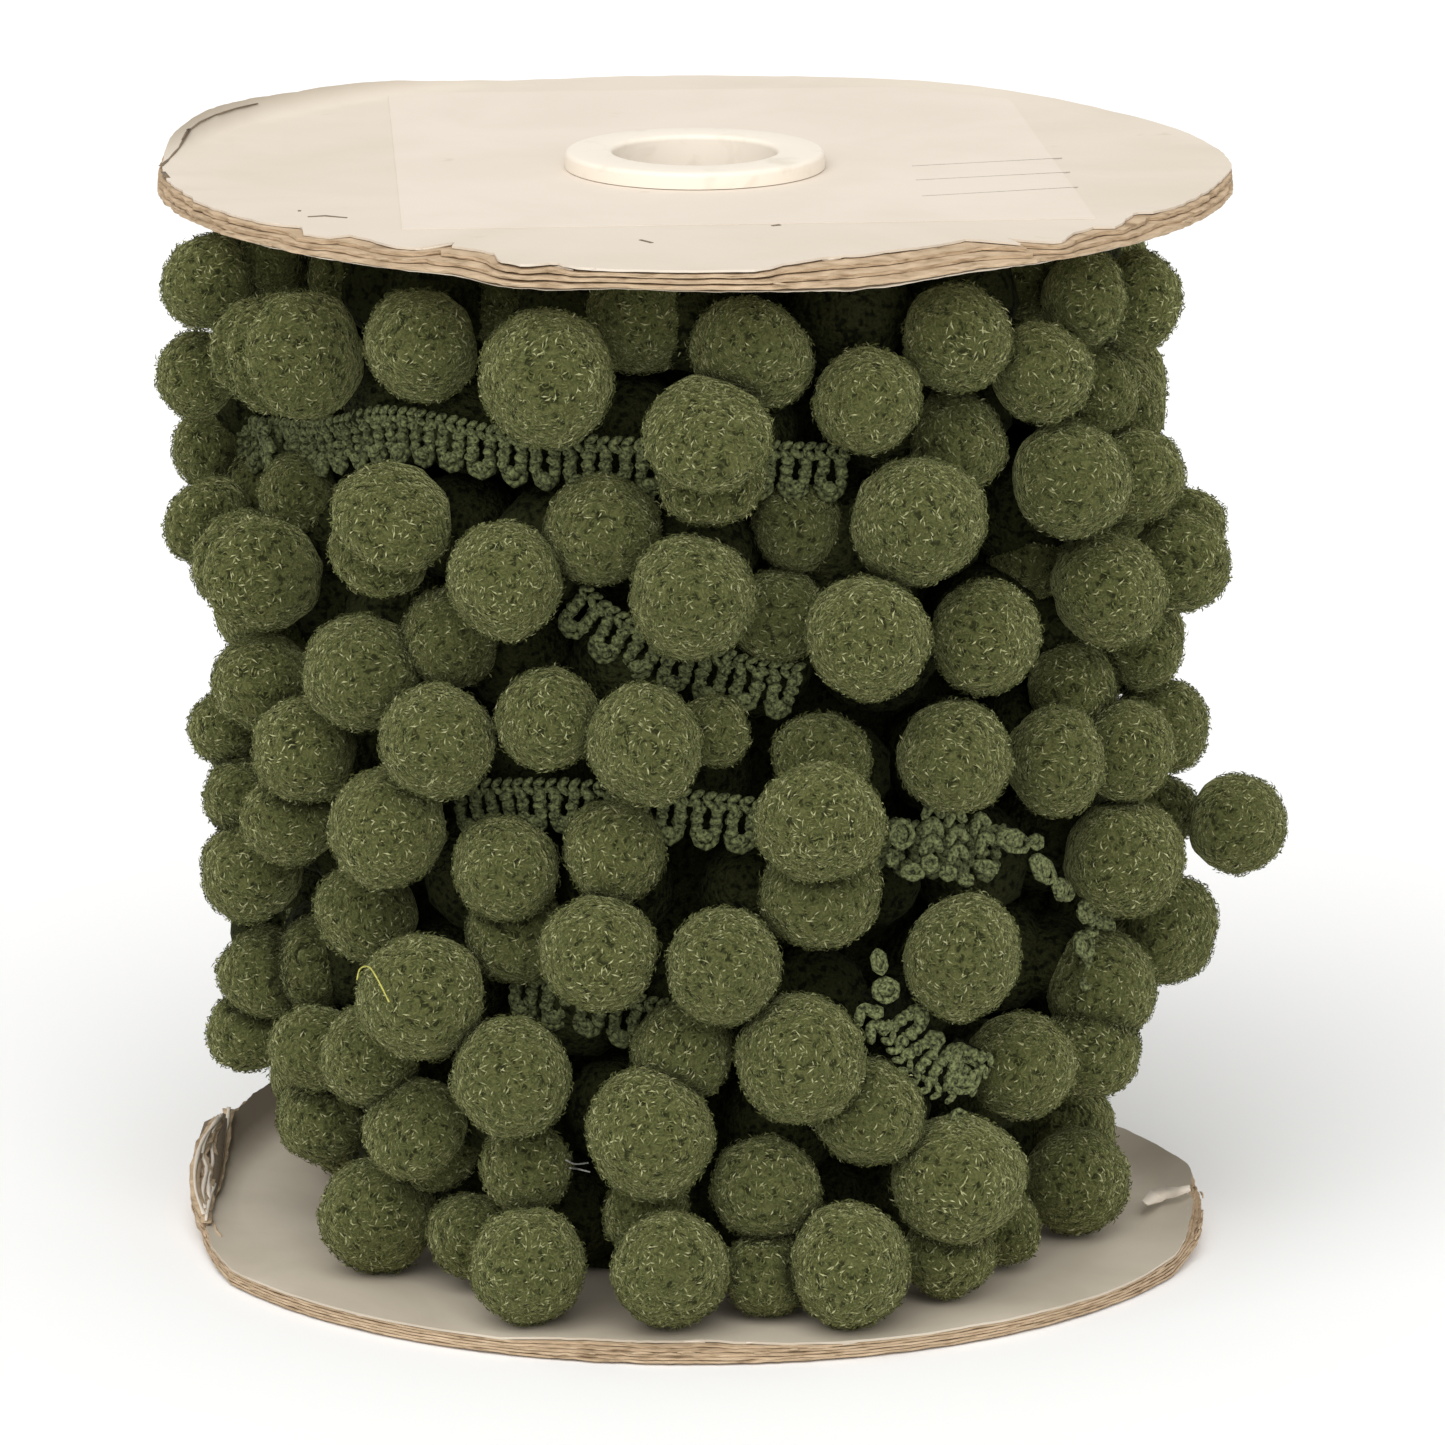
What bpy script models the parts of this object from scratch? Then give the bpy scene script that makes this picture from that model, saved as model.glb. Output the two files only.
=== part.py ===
"""Pom pom trim wound on a cardboard reel.

Metres, +Z up, the front of the reel towards -Y. The origin is on the floor, under the
middle of the object's box. The reel's axis stands a little to its left, because one loose
pompom reaches past the flanges on the right.

Pieces: two board flanges, the paper core tube, the collar in the tube's upper end, the
trim as it is wound (braid heading and pompoms, one solid), and the trim's loose end.
"""

import math
import random
from collections import namedtuple

import bmesh
import bpy
from mathutils import Euler, Vector

MM = 0.001

# Reel.
FLANGE_R = 101.6 * MM
BOARD = 3.2 * MM
REEL_HEIGHT = 204 * MM
TUBE_R = 20.5 * MM
TUBE_WALL = 3 * MM
COLLAR_R = 24.5 * MM
COLLAR_HEIGHT = 3.1 * MM
COLLAR_SLEEVE = 14 * MM
BORE_R = 15.5 * MM
CLEARANCE = 0.3 * MM
AXIS = Vector((-5.5 * MM, 1.6 * MM, 0))

# Wound trim.
ROOT_R = 42 * MM
BRAID_WIDTH = 10 * MM
BRAID_THICK = 2.6 * MM
STEM_R = 2.2 * MM
LUMP = 1.6 * MM
LUMPS_ROUND = 7
TAIL_ROOM = 0.6 * MM
SPACE_R = 130 * MM
BALL_SUBDIVISIONS = 3
SEED = 11
SKIN_STEP = 1.5 * MM
TRIM_TRIANGLES = 11000

# Steps round the turned pieces, and points along a stretch of braid.
FLANGE_STEPS = 90
TUBE_STEPS = 48
WINDING_STEPS = 44
BRAID_POINTS = 12

# The winding under the outermost pompoms: its radius in millimetres at shares of its height.
Girth = namedtuple("Girth", "share radius")
WINDING = (
    Girth(0, 58),
    Girth(0.12, 66),
    Girth(0.3, 73),
    Girth(0.5, 75),
    Girth(0.7, 74),
    Girth(0.82, 68),
    Girth(0.92, 56),
    Girth(1, 46),
)

# Where the photograph was taken from: the eye's distance from the reel's axis, its view
# downwards, and the picture's focal length and principal point in pixels.
EYE_DISTANCE = 1813 * MM
EYE_TILT = math.radians(13.46)
FOCAL = 9768
PRINCIPAL = (695, 694)

# A pompom seen in the photograph: the pixel of its centre, its width in pixels, and how
# far its centre is from the reel's axis in millimetres.
Ball = namedtuple("Ball", "across down wide out")

# The pompoms of each course, from the top of the reel downwards.
SEEN = {
    "under the flange": (
        Ball(212, 281, 104, 95),
        Ball(268, 262, 100, 88),
        Ball(352, 268, 112, 82),
        Ball(502, 286, 118, 74),
        Ball(643, 314, 122, 78),
        Ball(752, 352, 128, 80),
        Ball(860, 288, 118, 72),
        Ball(957, 338, 112, 84),
        Ball(1022, 272, 104, 80),
        Ball(1084, 297, 106, 88),
        Ball(1138, 300, 104, 92),
    ),
    "second course": (
        Ball(197, 374, 88, 96),
        Ball(254, 350, 112, 92),
        Ball(277, 354, 122, 91),
        Ball(306, 355, 134, 92),
        Ball(422, 345, 114, 84),
        Ball(547, 378, 137, 90),
        Ball(707, 434, 140, 92),
        Ball(868, 400, 114, 86),
        Ball(955, 442, 104, 76),
        Ball(1040, 372, 112, 88),
        Ball(1094, 390, 92, 84),
        Ball(1122, 414, 84, 84),
    ),
    "third course": (
        Ball(212, 450, 84, 90),
        Ball(208, 520, 98, 94),
        Ball(298, 495, 88, 80),
        Ball(245, 560, 112, 90),
        Ball(263, 574, 120, 92),
        Ball(393, 516, 124, 90),
        Ball(379, 554, 106, 86),
        Ball(602, 528, 116, 80),
        Ball(712, 480, 112, 84),
        Ball(797, 527, 92, 72),
        Ball(918, 520, 138, 90),
        Ball(1072, 480, 120, 90),
        Ball(1133, 476, 110, 90),
        Ball(1186, 527, 88, 94),
        Ball(1181, 560, 106, 96),
    ),
    "fourth course": (
        Ball(288, 640, 92, 80),
        Ball(505, 580, 119, 90),
        Ball(450, 638, 104, 78),
        Ball(692, 598, 130, 92),
        Ball(778, 616, 98, 74),
        Ball(868, 638, 129, 93),
        Ball(985, 637, 114, 88),
        Ball(1030, 556, 92, 70),
        Ball(1108, 590, 121, 90),
        Ball(1140, 648, 92, 88),
        Ball(1074, 690, 98, 80),
    ),
    "fifth course": (
        Ball(262, 682, 102, 90),
        Ball(227, 728, 78, 92),
        Ball(363, 672, 122, 88),
        Ball(305, 750, 114, 90),
        Ball(437, 740, 122, 91),
        Ball(548, 717, 112, 86),
        Ball(645, 744, 126, 92),
        Ball(714, 730, 80, 82),
        Ball(822, 757, 104, 80),
        Ball(954, 757, 121, 90),
        Ball(1056, 760, 112, 86),
        Ball(1124, 750, 108, 90),
        Ball(1160, 726, 102, 90),
    ),
    "sixth course": (
        Ball(244, 796, 86, 90),
        Ball(292, 816, 106, 88),
        Ball(252, 871, 110, 90),
        Ball(387, 828, 122, 90),
        Ball(506, 868, 112, 84),
        Ball(615, 852, 112, 80),
        Ball(820, 822, 134, 94),
        Ball(1124, 857, 127, 90),
        Ball(1158, 815, 84, 88),
    ),
    "seventh course": (
        Ball(265, 972, 100, 86),
        Ball(249, 1028, 88, 88),
        Ball(315, 964, 92, 78),
        Ball(366, 912, 104, 80),
        Ball(421, 997, 137, 92),
        Ball(516, 930, 104, 76),
        Ball(598, 953, 120, 89),
        Ball(724, 967, 122, 90),
        Ball(820, 892, 126, 84),
        Ball(962, 957, 128, 92),
        Ball(1100, 986, 116, 84),
        Ball(1170, 930, 110, 92),
    ),
    "eighth course": (
        Ball(313, 1048, 96, 84),
        Ball(370, 1056, 108, 84),
        Ball(323, 1117, 96, 80),
        Ball(415, 1128, 108, 84),
        Ball(512, 1076, 123, 90),
        Ball(683, 1052, 108, 80),
        Ball(650, 1132, 131, 88),
        Ball(800, 1060, 131, 90),
        Ball(868, 1112, 118, 86),
        Ball(1020, 1066, 116, 84),
        Ball(1090, 1048, 102, 84),
    ),
    "on the lower flange": (
        Ball(378, 1214, 119, 80),
        Ball(440, 1150, 92, 74),
        Ball(470, 1234, 92, 78),
        Ball(526, 1166, 98, 80),
        Ball(528, 1264, 120, 92),
        Ball(645, 1212, 92, 80),
        Ball(673, 1270, 126, 93),
        Ball(766, 1188, 110, 82),
        Ball(768, 1272, 92, 78),
        Ball(850, 1265, 128, 92),
        Ball(948, 1252, 96, 78),
        Ball(1003, 1228, 80, 78),
        Ball(1074, 1180, 114, 78),
    ),
}
LOOSE_BALL = Ball(1237, 824, 104, 104)
TAIL_BALL = Ball(958, 1178, 136, 90)

# The stretches of braid heading that show between the pompoms: pixels down the middle of
# the braid, and its distance from the reel's axis in millimetres.
Stretch = namedtuple("Stretch", "out middle")
BRAIDS = (
    Stretch(78, ((232, 440), (320, 446), (400, 432), (520, 456), (640, 464), (860, 470))),
    Stretch(77, ((570, 600), (612, 634), (690, 668), (760, 684), (830, 694))),
    Stretch(78, ((455, 806), (560, 804), (660, 812), (770, 826), (905, 846), (1010, 852))),
    Stretch(74, ((282, 926), (320, 950), (362, 990))),
    Stretch(75, ((510, 984), (570, 1002), (640, 1020), (740, 1030))),
)
TAIL = Stretch(86, ((884, 900), (884, 950), (890, 1000), (918, 1044), (946, 1086)))

# The back of the reel, which the photograph doesn't show, wound like its front.
BACK_COURSES = 8
BACK_FIRST = math.radians(87)
BACK_LAST = math.radians(273)
BACK_BALLS = 11
BACK_OUT = 86 * MM
BACK_BALL_R = 11.6 * MM
BACK_STRAY = 0.12
BACK_RISE = 5 * MM
BACK_SINK = 4 * MM
BACK_LOWEST = 17 * MM
BACK_HIGHEST = 186 * MM
BACK_BRAID_COURSES = (2, 4, 6)
BACK_BRAID_OUT = 79 * MM

# Wear of a flange's rim: the bearing from the front in degrees, how far the rim is worn
# in, how far it is bent up, both in millimetres, and the half width in degrees.
Wear = namedtuple("Wear", "bearing worn bent half")
TOP_WEAR = (
    Wear(-42, 2.2, 0, 16),
    Wear(-112, 0.8, 1.2, 20),
    Wear(-14, 0.4, -0.8, 20),
    Wear(66, 1.0, 0, 9),
    Wear(150, 0.8, 0.6, 18),
)
BOTTOM_WEAR = (
    Wear(-92, 4.4, 4.0, 26),
    Wear(91, 4.0, 3.2, 24),
    Wear(-24, 1.0, 0.5, 12),
    Wear(12, 0.6, 0.7, 10),
    Wear(160, 0.8, 0, 16),
)
RIM_BEND_FROM = 0.84

Finish = namedtuple("Finish", "colour roughness")
BOARD_FINISH = Finish((0.79, 0.74, 0.65), 0.85)
TUBE_FINISH = Finish((0.62, 0.52, 0.39), 0.9)
COLLAR_FINISH = Finish((0.82, 0.77, 0.68), 0.6)
TRIM_FINISH = Finish((0.105, 0.125, 0.055), 0.95)


def clear_scene():
    for old in list(bpy.data.objects):
        bpy.data.objects.remove(old)


def material(name, finish):
    made = bpy.data.materials.new(name)
    made.use_nodes = True
    shader = made.node_tree.nodes["Principled BSDF"]
    shader.inputs["Base Color"].default_value = (*finish.colour, 1)
    shader.inputs["Roughness"].default_value = finish.roughness
    shader.inputs["Metallic"].default_value = 0
    return made


def add_object(name, bm, finish):
    """An object in the scene that holds the mesh, with its faces pointing out."""
    bmesh.ops.recalc_face_normals(bm, faces=bm.faces)
    mesh = bpy.data.meshes.new(name)
    bm.to_mesh(mesh)
    bm.free()
    made = bpy.data.objects.new(name, mesh)
    bpy.context.scene.collection.objects.link(made)
    if finish:
        mesh.materials.append(material(name, finish))
    return made


def make_helper(helper):
    helper.hide_render = True
    helper.display_type = "WIRE"


def add_boolean(target, helper, operation):
    step = target.modifiers.new(helper.name, "BOOLEAN")
    step.operation = operation
    step.solver = "EXACT"
    step.object = helper


def evaluated_mesh(made):
    """The object's mesh with its modifiers applied."""
    graph = bpy.context.evaluated_depsgraph_get()
    return bpy.data.meshes.new_from_object(made.evaluated_get(graph))


def connected_faces(start):
    """Every face that can be reached from this one across edges."""
    found = {start}
    waiting = [start]
    while waiting:
        for edge in waiting.pop().edges:
            new = set(edge.link_faces) - found
            found |= new
            waiting.extend(new)
    return found


def keep_largest_shell(bm):
    """Deletes the specks and pockets that the skin leaves, and keeps the piece itself."""
    shells = []
    waiting = set(bm.faces)
    while waiting:
        shells.append(connected_faces(next(iter(waiting))))
        waiting -= shells[-1]
    largest = max(shells, key=len)
    bmesh.ops.delete(bm, geom=[face for face in bm.faces if face not in largest], context="FACES")


def skinned(name, bm, triangles, finish):
    """One skin round overlapping shapes, with about this many triangles."""
    made = add_object(name, bm, None)
    skin = made.modifiers.new("skin", "REMESH")
    skin.mode = "VOXEL"
    skin.voxel_size = SKIN_STEP
    made.modifiers.new("triangles", "TRIANGULATE")
    full = evaluated_mesh(made)
    thin = made.modifiers.new("thin", "DECIMATE")
    thin.ratio = triangles / len(full.polygons)
    mesh = evaluated_mesh(made)
    bpy.data.objects.remove(made)
    bm = bmesh.new()
    bm.from_mesh(mesh)
    keep_largest_shell(bm)
    return add_object(name, bm, finish)


def at_bearing(bearing, out, height):
    """A point this far from the reel's axis; bearing 0 is the front and 90 degrees the right."""
    return AXIS + Vector((out * math.sin(bearing), -out * math.cos(bearing), height))


def add_rings(bm, rings):
    """A closed ring of sections: each section's points join those of the next."""
    sections = [[bm.verts.new(point) for point in ring] for ring in rings]
    count = len(sections[0])
    for here, there in zip(sections, sections[1:] + sections[:1]):
        for i in range(count):
            j = (i + 1) % count
            bm.faces.new((here[i], here[j], there[j], there[i]))


def turned(name, profile, steps, finish):
    """A ring about the reel's axis, from the (radius, height) points of its section."""
    bm = bmesh.new()
    bearings = [math.tau * i / steps for i in range(steps)]
    add_rings(bm, [[at_bearing(b, r, z) for r, z in profile] for b in bearings])
    made = add_object(name, bm, finish)
    made.data.shade_smooth()
    made.data.set_sharp_from_angle(angle=math.radians(40))
    return made


def fade(share):
    """1 at 0 and 0 from 1 on, with no corner between."""
    share = min(1, abs(share))
    return (1 + math.cos(math.pi * share)) / 2


def rim_change(bearing, wear):
    """How far the rim is worn in and bent up at a bearing."""
    worn = bent = 0
    for mark in wear:
        away = (math.degrees(bearing) - mark.bearing + 180) % 360 - 180
        worn += mark.worn * MM * fade(away / mark.half)
        bent += mark.bent * MM * fade(away / mark.half)
    return worn, bent


def flange(name, height, wear):
    """A board disc round the tube; its rim is worn and bent as the marks say."""
    hole = TUBE_R + CLEARANCE
    rings = []
    for i in range(FLANGE_STEPS):
        bearing = math.tau * i / FLANGE_STEPS
        worn, bent = rim_change(bearing, wear)
        rim = FLANGE_R - worn
        bend = FLANGE_R * RIM_BEND_FROM
        section = (
            (hole, 0), (bend, 0), (rim, bent),
            (rim, bent + BOARD), (bend, BOARD), (hole, BOARD),
        )
        rings.append([at_bearing(bearing, r, height + z) for r, z in section])
    bm = bmesh.new()
    add_rings(bm, rings)
    return add_object(name, bm, BOARD_FINISH)


def core_tube():
    """The paper tube that both flanges are glued to, flush with their outer faces."""
    inner = TUBE_R - TUBE_WALL
    section = ((inner, 0), (TUBE_R, 0), (TUBE_R, REEL_HEIGHT), (inner, REEL_HEIGHT))
    return turned("core_tube", section, TUBE_STEPS, TUBE_FINISH)


def collar():
    """The flat ring over the tube's upper end, with a sleeve that goes down into it."""
    under = REEL_HEIGHT + CLEARANCE
    top = under + COLLAR_HEIGHT
    edge = 0.8 * MM
    mouth = 1.4 * MM
    sleeve = TUBE_R - TUBE_WALL - CLEARANCE
    section = (
        (BORE_R, under - COLLAR_SLEEVE), (sleeve, under - COLLAR_SLEEVE), (sleeve, under),
        (COLLAR_R, under), (COLLAR_R, top - edge), (COLLAR_R - edge, top),
        (BORE_R + mouth, top), (BORE_R, top - mouth),
    )
    return turned("collar_top", section, TUBE_STEPS, COLLAR_FINISH)


def sight_line(across, down):
    """The eye, and the direction in which it sees a pixel of the photograph."""
    eye_height = REEL_HEIGHT / 2 + EYE_DISTANCE * math.tan(EYE_TILT)
    eye = AXIS + Vector((0, -EYE_DISTANCE, eye_height))
    forward = Vector((0, math.cos(EYE_TILT), -math.sin(EYE_TILT)))
    upward = Vector((0, math.sin(EYE_TILT), math.cos(EYE_TILT)))
    right = Vector((1, 0, 0))
    x = (across - PRINCIPAL[0]) / FOCAL
    y = (PRINCIPAL[1] - down) / FOCAL
    return eye, forward + x * right + y * upward


def seen_at(across, down, out):
    """Where the pixel's sight line meets the upright cylinder of radius out, on its near side,
    or comes nearest to the reel's axis if it misses the cylinder."""
    eye, along = sight_line(across, down)
    start = eye - AXIS
    a = along.x**2 + along.y**2
    b = start.x * along.x + start.y * along.y
    c = start.x**2 + start.y**2 - out**2
    return eye + along * ((-b - math.sqrt(max(0, b * b - a * c))) / a)


def seat_ball(ball):
    """The pompom's centre and radius. One that would reach into a flange is moved along its
    sight line until it only touches it."""
    centre = seen_at(ball.across, ball.down, ball.out * MM)
    eye, along = sight_line(ball.across, ball.down)
    radius = ball.wide / 2 / FOCAL * (centre - eye).length
    lowest = BOARD + CLEARANCE + radius
    highest = REEL_HEIGHT - BOARD - CLEARANCE - radius
    height = min(max(centre.z, lowest), highest)
    return centre + along * ((height - centre.z) / along.z), radius


def back_balls():
    """The pompoms of the reel's back: level courses, each a little uneven."""
    rng = random.Random(SEED)
    balls = []
    for course in range(BACK_COURSES):
        share = course / (BACK_COURSES - 1)
        height = BACK_LOWEST + (BACK_HIGHEST - BACK_LOWEST) * share
        for i in range(BACK_BALLS):
            stray = rng.uniform(-BACK_STRAY, BACK_STRAY)
            step = (i + 0.5 * (course % 2) + stray) / (BACK_BALLS - 0.5)
            bearing = BACK_FIRST + (BACK_LAST - BACK_FIRST) * step
            radius = BACK_BALL_R * rng.uniform(0.9, 1.08)
            out = BACK_OUT + rng.uniform(-BACK_SINK, BACK_SINK)
            up = height + rng.uniform(-BACK_RISE, BACK_RISE)
            up = min(max(up, BOARD + CLEARANCE + radius), REEL_HEIGHT - BOARD - CLEARANCE - radius)
            balls.append((at_bearing(bearing, out, up), radius))
    return balls


def add_ball(bm, centre, radius, turn):
    made = bmesh.ops.create_icosphere(bm, subdivisions=BALL_SUBDIVISIONS, radius=radius)
    for vert in made["verts"]:
        vert.co.rotate(turn)
        vert.co += centre


def add_stem(bm, start, end, radius):
    """A four-sided stem from one point to another."""
    along = end - start
    made = bmesh.ops.create_cone(
        bm, cap_ends=True, segments=4, radius1=radius, radius2=radius, depth=along.length
    )
    turn = along.to_track_quat("Z", "Y")
    for vert in made["verts"]:
        vert.co.rotate(turn)
        vert.co += (start + end) / 2


def smooth_path(points, count):
    """Points spread along a curve through the given ones (Catmull-Rom)."""
    ends = [points[0] * 2 - points[1], *points, points[-1] * 2 - points[-2]]
    path = []
    for i in range(count):
        at = i / (count - 1) * (len(points) - 1)
        k = min(int(at), len(points) - 2)
        t = at - k
        p0, p1, p2, p3 = ends[k : k + 4]
        path.append(
            (p1 * 2 + (p2 - p0) * t + (p0 * 2 - p1 * 5 + p2 * 4 - p3) * t * t
             + (p1 * 3 - p0 - p2 * 3 + p3) * t * t * t) / 2
        )
    return path


def add_strip(bm, path, width, thick):
    """A flat strip along a path, its face turned away from the reel's axis."""
    rings = []
    for i, point in enumerate(path):
        along = (path[min(i + 1, len(path) - 1)] - path[max(i - 1, 0)]).normalized()
        outward = point - AXIS
        outward.z = 0
        outward = (outward - along * outward.dot(along)).normalized()
        side = along.cross(outward)
        rings.append([
            bm.verts.new(point + side * (width / 2 * s) + outward * (thick / 2 * t))
            for s, t in ((-1, -1), (1, -1), (1, 1), (-1, 1))
        ])
    for here, there in zip(rings, rings[1:]):
        for i in range(4):
            bm.faces.new((here[i], here[(i + 1) % 4], there[(i + 1) % 4], there[i]))
    bm.faces.new(rings[0])
    bm.faces.new(rings[-1])


def stretch_path(stretch):
    middle = [seen_at(across, down, stretch.out * MM) for across, down in stretch.middle]
    return smooth_path(middle, BRAID_POINTS)


def back_braid(course):
    """A course of braid round the back, midway between two courses of pompoms."""
    share = (course - 0.5) / (BACK_COURSES - 1)
    height = BACK_LOWEST + (BACK_HIGHEST - BACK_LOWEST) * share
    bearings = [
        BACK_FIRST + (BACK_LAST - BACK_FIRST) * i / (BRAID_POINTS - 1) for i in range(BRAID_POINTS)
    ]
    return [at_bearing(bearing, BACK_BRAID_OUT, height) for bearing in bearings]


def add_winding(bm):
    """The turns under the outer pompoms, as one lumpy ring round the tube."""
    inner = TUBE_R - TUBE_WALL
    low = BOARD - CLEARANCE
    high = REEL_HEIGHT - BOARD + CLEARANCE
    rings = []
    for i in range(WINDING_STEPS):
        bearing = math.tau * i / WINDING_STEPS
        ring = [at_bearing(bearing, inner, high), at_bearing(bearing, inner, low)]
        for row, girth in enumerate(WINDING):
            lump = LUMP * math.sin(LUMPS_ROUND * bearing + 2 * row) * math.cos(1.7 * row)
            height = low + (high - low) * girth.share
            ring.append(at_bearing(bearing, girth.radius * MM + lump, height))
        rings.append(ring)
    add_rings(bm, rings)


def winding_space():
    """The room between the tube and the flanges, which the wound trim fills."""
    low = BOARD + CLEARANCE
    high = REEL_HEIGHT - BOARD - CLEARANCE
    section = ((TUBE_R + CLEARANCE, low), (SPACE_R, low), (SPACE_R, high), (TUBE_R + CLEARANCE, high))
    return turned("winding_space", section, TUBE_STEPS, None)


def wound_trim():
    """The trim as it is wound: the inner turns, the outermost pompoms and the braid between."""
    rng = random.Random(SEED + 1)
    seen = [seat_ball(ball) for course in SEEN.values() for ball in course]
    bm = bmesh.new()
    add_winding(bm)
    for centre, radius in [*seen, seat_ball(LOOSE_BALL), *back_balls()]:
        turn = Euler([rng.uniform(0, math.tau) for _ in range(3)])
        add_ball(bm, centre, radius, turn)
        outward = centre - AXIS
        outward.z = 0
        root = AXIS + outward.normalized() * ROOT_R + Vector((0, 0, centre.z))
        add_stem(bm, centre, root, STEM_R)
    for stretch in BRAIDS:
        add_strip(bm, stretch_path(stretch), BRAID_WIDTH, BRAID_THICK)
    for course in BACK_BRAID_COURSES:
        add_strip(bm, back_braid(course), BRAID_WIDTH, BRAID_THICK)
    bmesh.ops.recalc_face_normals(bm, faces=bm.faces)
    made = skinned("wound_trim", bm, TRIM_TRIANGLES, TRIM_FINISH)
    for helper, operation in (
        (winding_space(), "INTERSECT"),
        (loose_end("room_for_loose_end", TAIL_ROOM, None), "DIFFERENCE"),
    ):
        make_helper(helper)
        add_boolean(made, helper, operation)
    made.data.shade_smooth()
    return made


def loose_end(name, grown, finish):
    """The trim's cut end: the braid hanging down, and the last pompom on its stem."""
    path = stretch_path(TAIL)
    centre, radius = seat_ball(TAIL_BALL)
    braid = bmesh.new()
    add_strip(braid, path, BRAID_WIDTH + 2 * grown, BRAID_THICK + 2 * grown)
    made = add_object(name, braid, finish)
    pompom = bmesh.new()
    add_ball(pompom, centre, radius + grown, Euler())
    stem = bmesh.new()
    add_stem(stem, path[-2], centre, STEM_R + grown)
    for part, bm in (("pompom", pompom), ("stem", stem)):
        helper = add_object(f"{name}_{part}", bm, None)
        make_helper(helper)
        add_boolean(made, helper, "UNION")
    return made


def main():
    clear_scene()
    flange("flange_bottom", 0, BOTTOM_WEAR)
    flange("flange_top", REEL_HEIGHT - BOARD, TOP_WEAR)
    core_tube()
    collar()
    wound_trim()
    loose_end("loose_end", 0, TRIM_FINISH)


main()
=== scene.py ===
"""The looks of pom pom trim wound on a worn cardboard reel.

Metres, +Z up, the front of the reel towards -Y. The pompoms, the braid and the torn rims
are placed by the pixels at which the photograph shows them, through a camera that was
fitted to the outlines of both flanges.
"""

import math
import random
from collections import namedtuple

import bmesh
import bpy
import numpy as np
from mathutils import Euler, Matrix, Vector, noise


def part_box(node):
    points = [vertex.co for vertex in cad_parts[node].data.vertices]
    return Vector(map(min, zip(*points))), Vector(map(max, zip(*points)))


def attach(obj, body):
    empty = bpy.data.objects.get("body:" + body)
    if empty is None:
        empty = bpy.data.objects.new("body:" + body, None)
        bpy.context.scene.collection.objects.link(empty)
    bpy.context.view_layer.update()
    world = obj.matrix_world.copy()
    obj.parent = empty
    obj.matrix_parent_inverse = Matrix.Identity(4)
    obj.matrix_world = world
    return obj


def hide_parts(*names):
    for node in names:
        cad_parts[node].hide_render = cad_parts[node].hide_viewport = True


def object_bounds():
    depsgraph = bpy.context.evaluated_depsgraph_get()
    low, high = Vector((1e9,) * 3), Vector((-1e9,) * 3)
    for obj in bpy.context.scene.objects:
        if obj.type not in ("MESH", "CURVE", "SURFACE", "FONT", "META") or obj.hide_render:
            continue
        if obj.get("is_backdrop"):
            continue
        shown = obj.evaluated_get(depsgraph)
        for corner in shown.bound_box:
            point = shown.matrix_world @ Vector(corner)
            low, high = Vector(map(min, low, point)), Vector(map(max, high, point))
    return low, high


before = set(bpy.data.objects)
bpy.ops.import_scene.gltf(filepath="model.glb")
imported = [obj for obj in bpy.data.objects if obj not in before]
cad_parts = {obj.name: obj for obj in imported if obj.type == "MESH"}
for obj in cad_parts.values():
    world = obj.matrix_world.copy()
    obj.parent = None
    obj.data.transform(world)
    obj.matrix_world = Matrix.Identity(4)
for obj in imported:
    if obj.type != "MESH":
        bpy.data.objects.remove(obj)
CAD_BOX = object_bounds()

MM = 0.001
ROOT = "root"
PHOTO_SIZE = 1445

# Reel, as in the part's source.
FLANGE_R = 101.6 * MM
BOARD = 3.2 * MM
TUBE_R = 20.5 * MM
COLLAR_R = 24.5 * MM
BORE_R = 15.5 * MM
CLEARANCE = 0.3 * MM
TUBE_LOW, TUBE_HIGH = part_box("core_tube")
COLLAR_LOW, COLLAR_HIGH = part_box("collar_top")
REEL_HEIGHT = TUBE_HIGH[2]
AXIS = Vector(((TUBE_LOW[0] + TUBE_HIGH[0]) / 2, (TUBE_LOW[1] + TUBE_HIGH[1]) / 2, 0))

# Where the photograph was taken from: the eye's distance from the reel's axis, its view
# downwards, and the picture's focal length and principal point in pixels.
EYE_DISTANCE = 1813 * MM
EYE_TILT = math.radians(13.46)
EYE_HEIGHT = REEL_HEIGHT / 2 + EYE_DISTANCE * math.tan(EYE_TILT)
FOCAL = 9768
PRINCIPAL = (695, 694)
SENSOR = 36

# Seeds of the random draws. The pompoms' own are added to the first one, which the braid's
# noise takes as well.
SEED = 11
noise.seed_set(SEED)
INNER_SEED = SEED + 2
PLAIT_SEED = SEED + 3
WEAR_SEED = SEED + 6
INNER_WOOL_SEED = 4
POMPOM_SEED = 31
LAST_SEED = 40

# Pompoms: how high the pile stands, how far their sizes stray, how flat one may be pressed,
# how much of the way to its neighbour has to be front to back for that, how near another one
# darkens it with painted shade, the lumps and crumbs of its wool, and how fine its mesh is.
PILE_STANDS = 0.5 * MM
BALL_STRAY = 0.06
MOST_PRESSED = 0.46
FRONT_TO_BACK = 0.5
SAME_PLACE = 0.1 * MM
NEAR = 2.4 * MM
LUMP_SIZE = 2.6 * MM
LUMPS_PER_METRE = 95
CRUMB_SIZE = 1.5 * MM
CRUMBS_PER_METRE = 300
BALL_SUBDIVISIONS = 4
BACK_SUBDIVISIONS = 3
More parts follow.
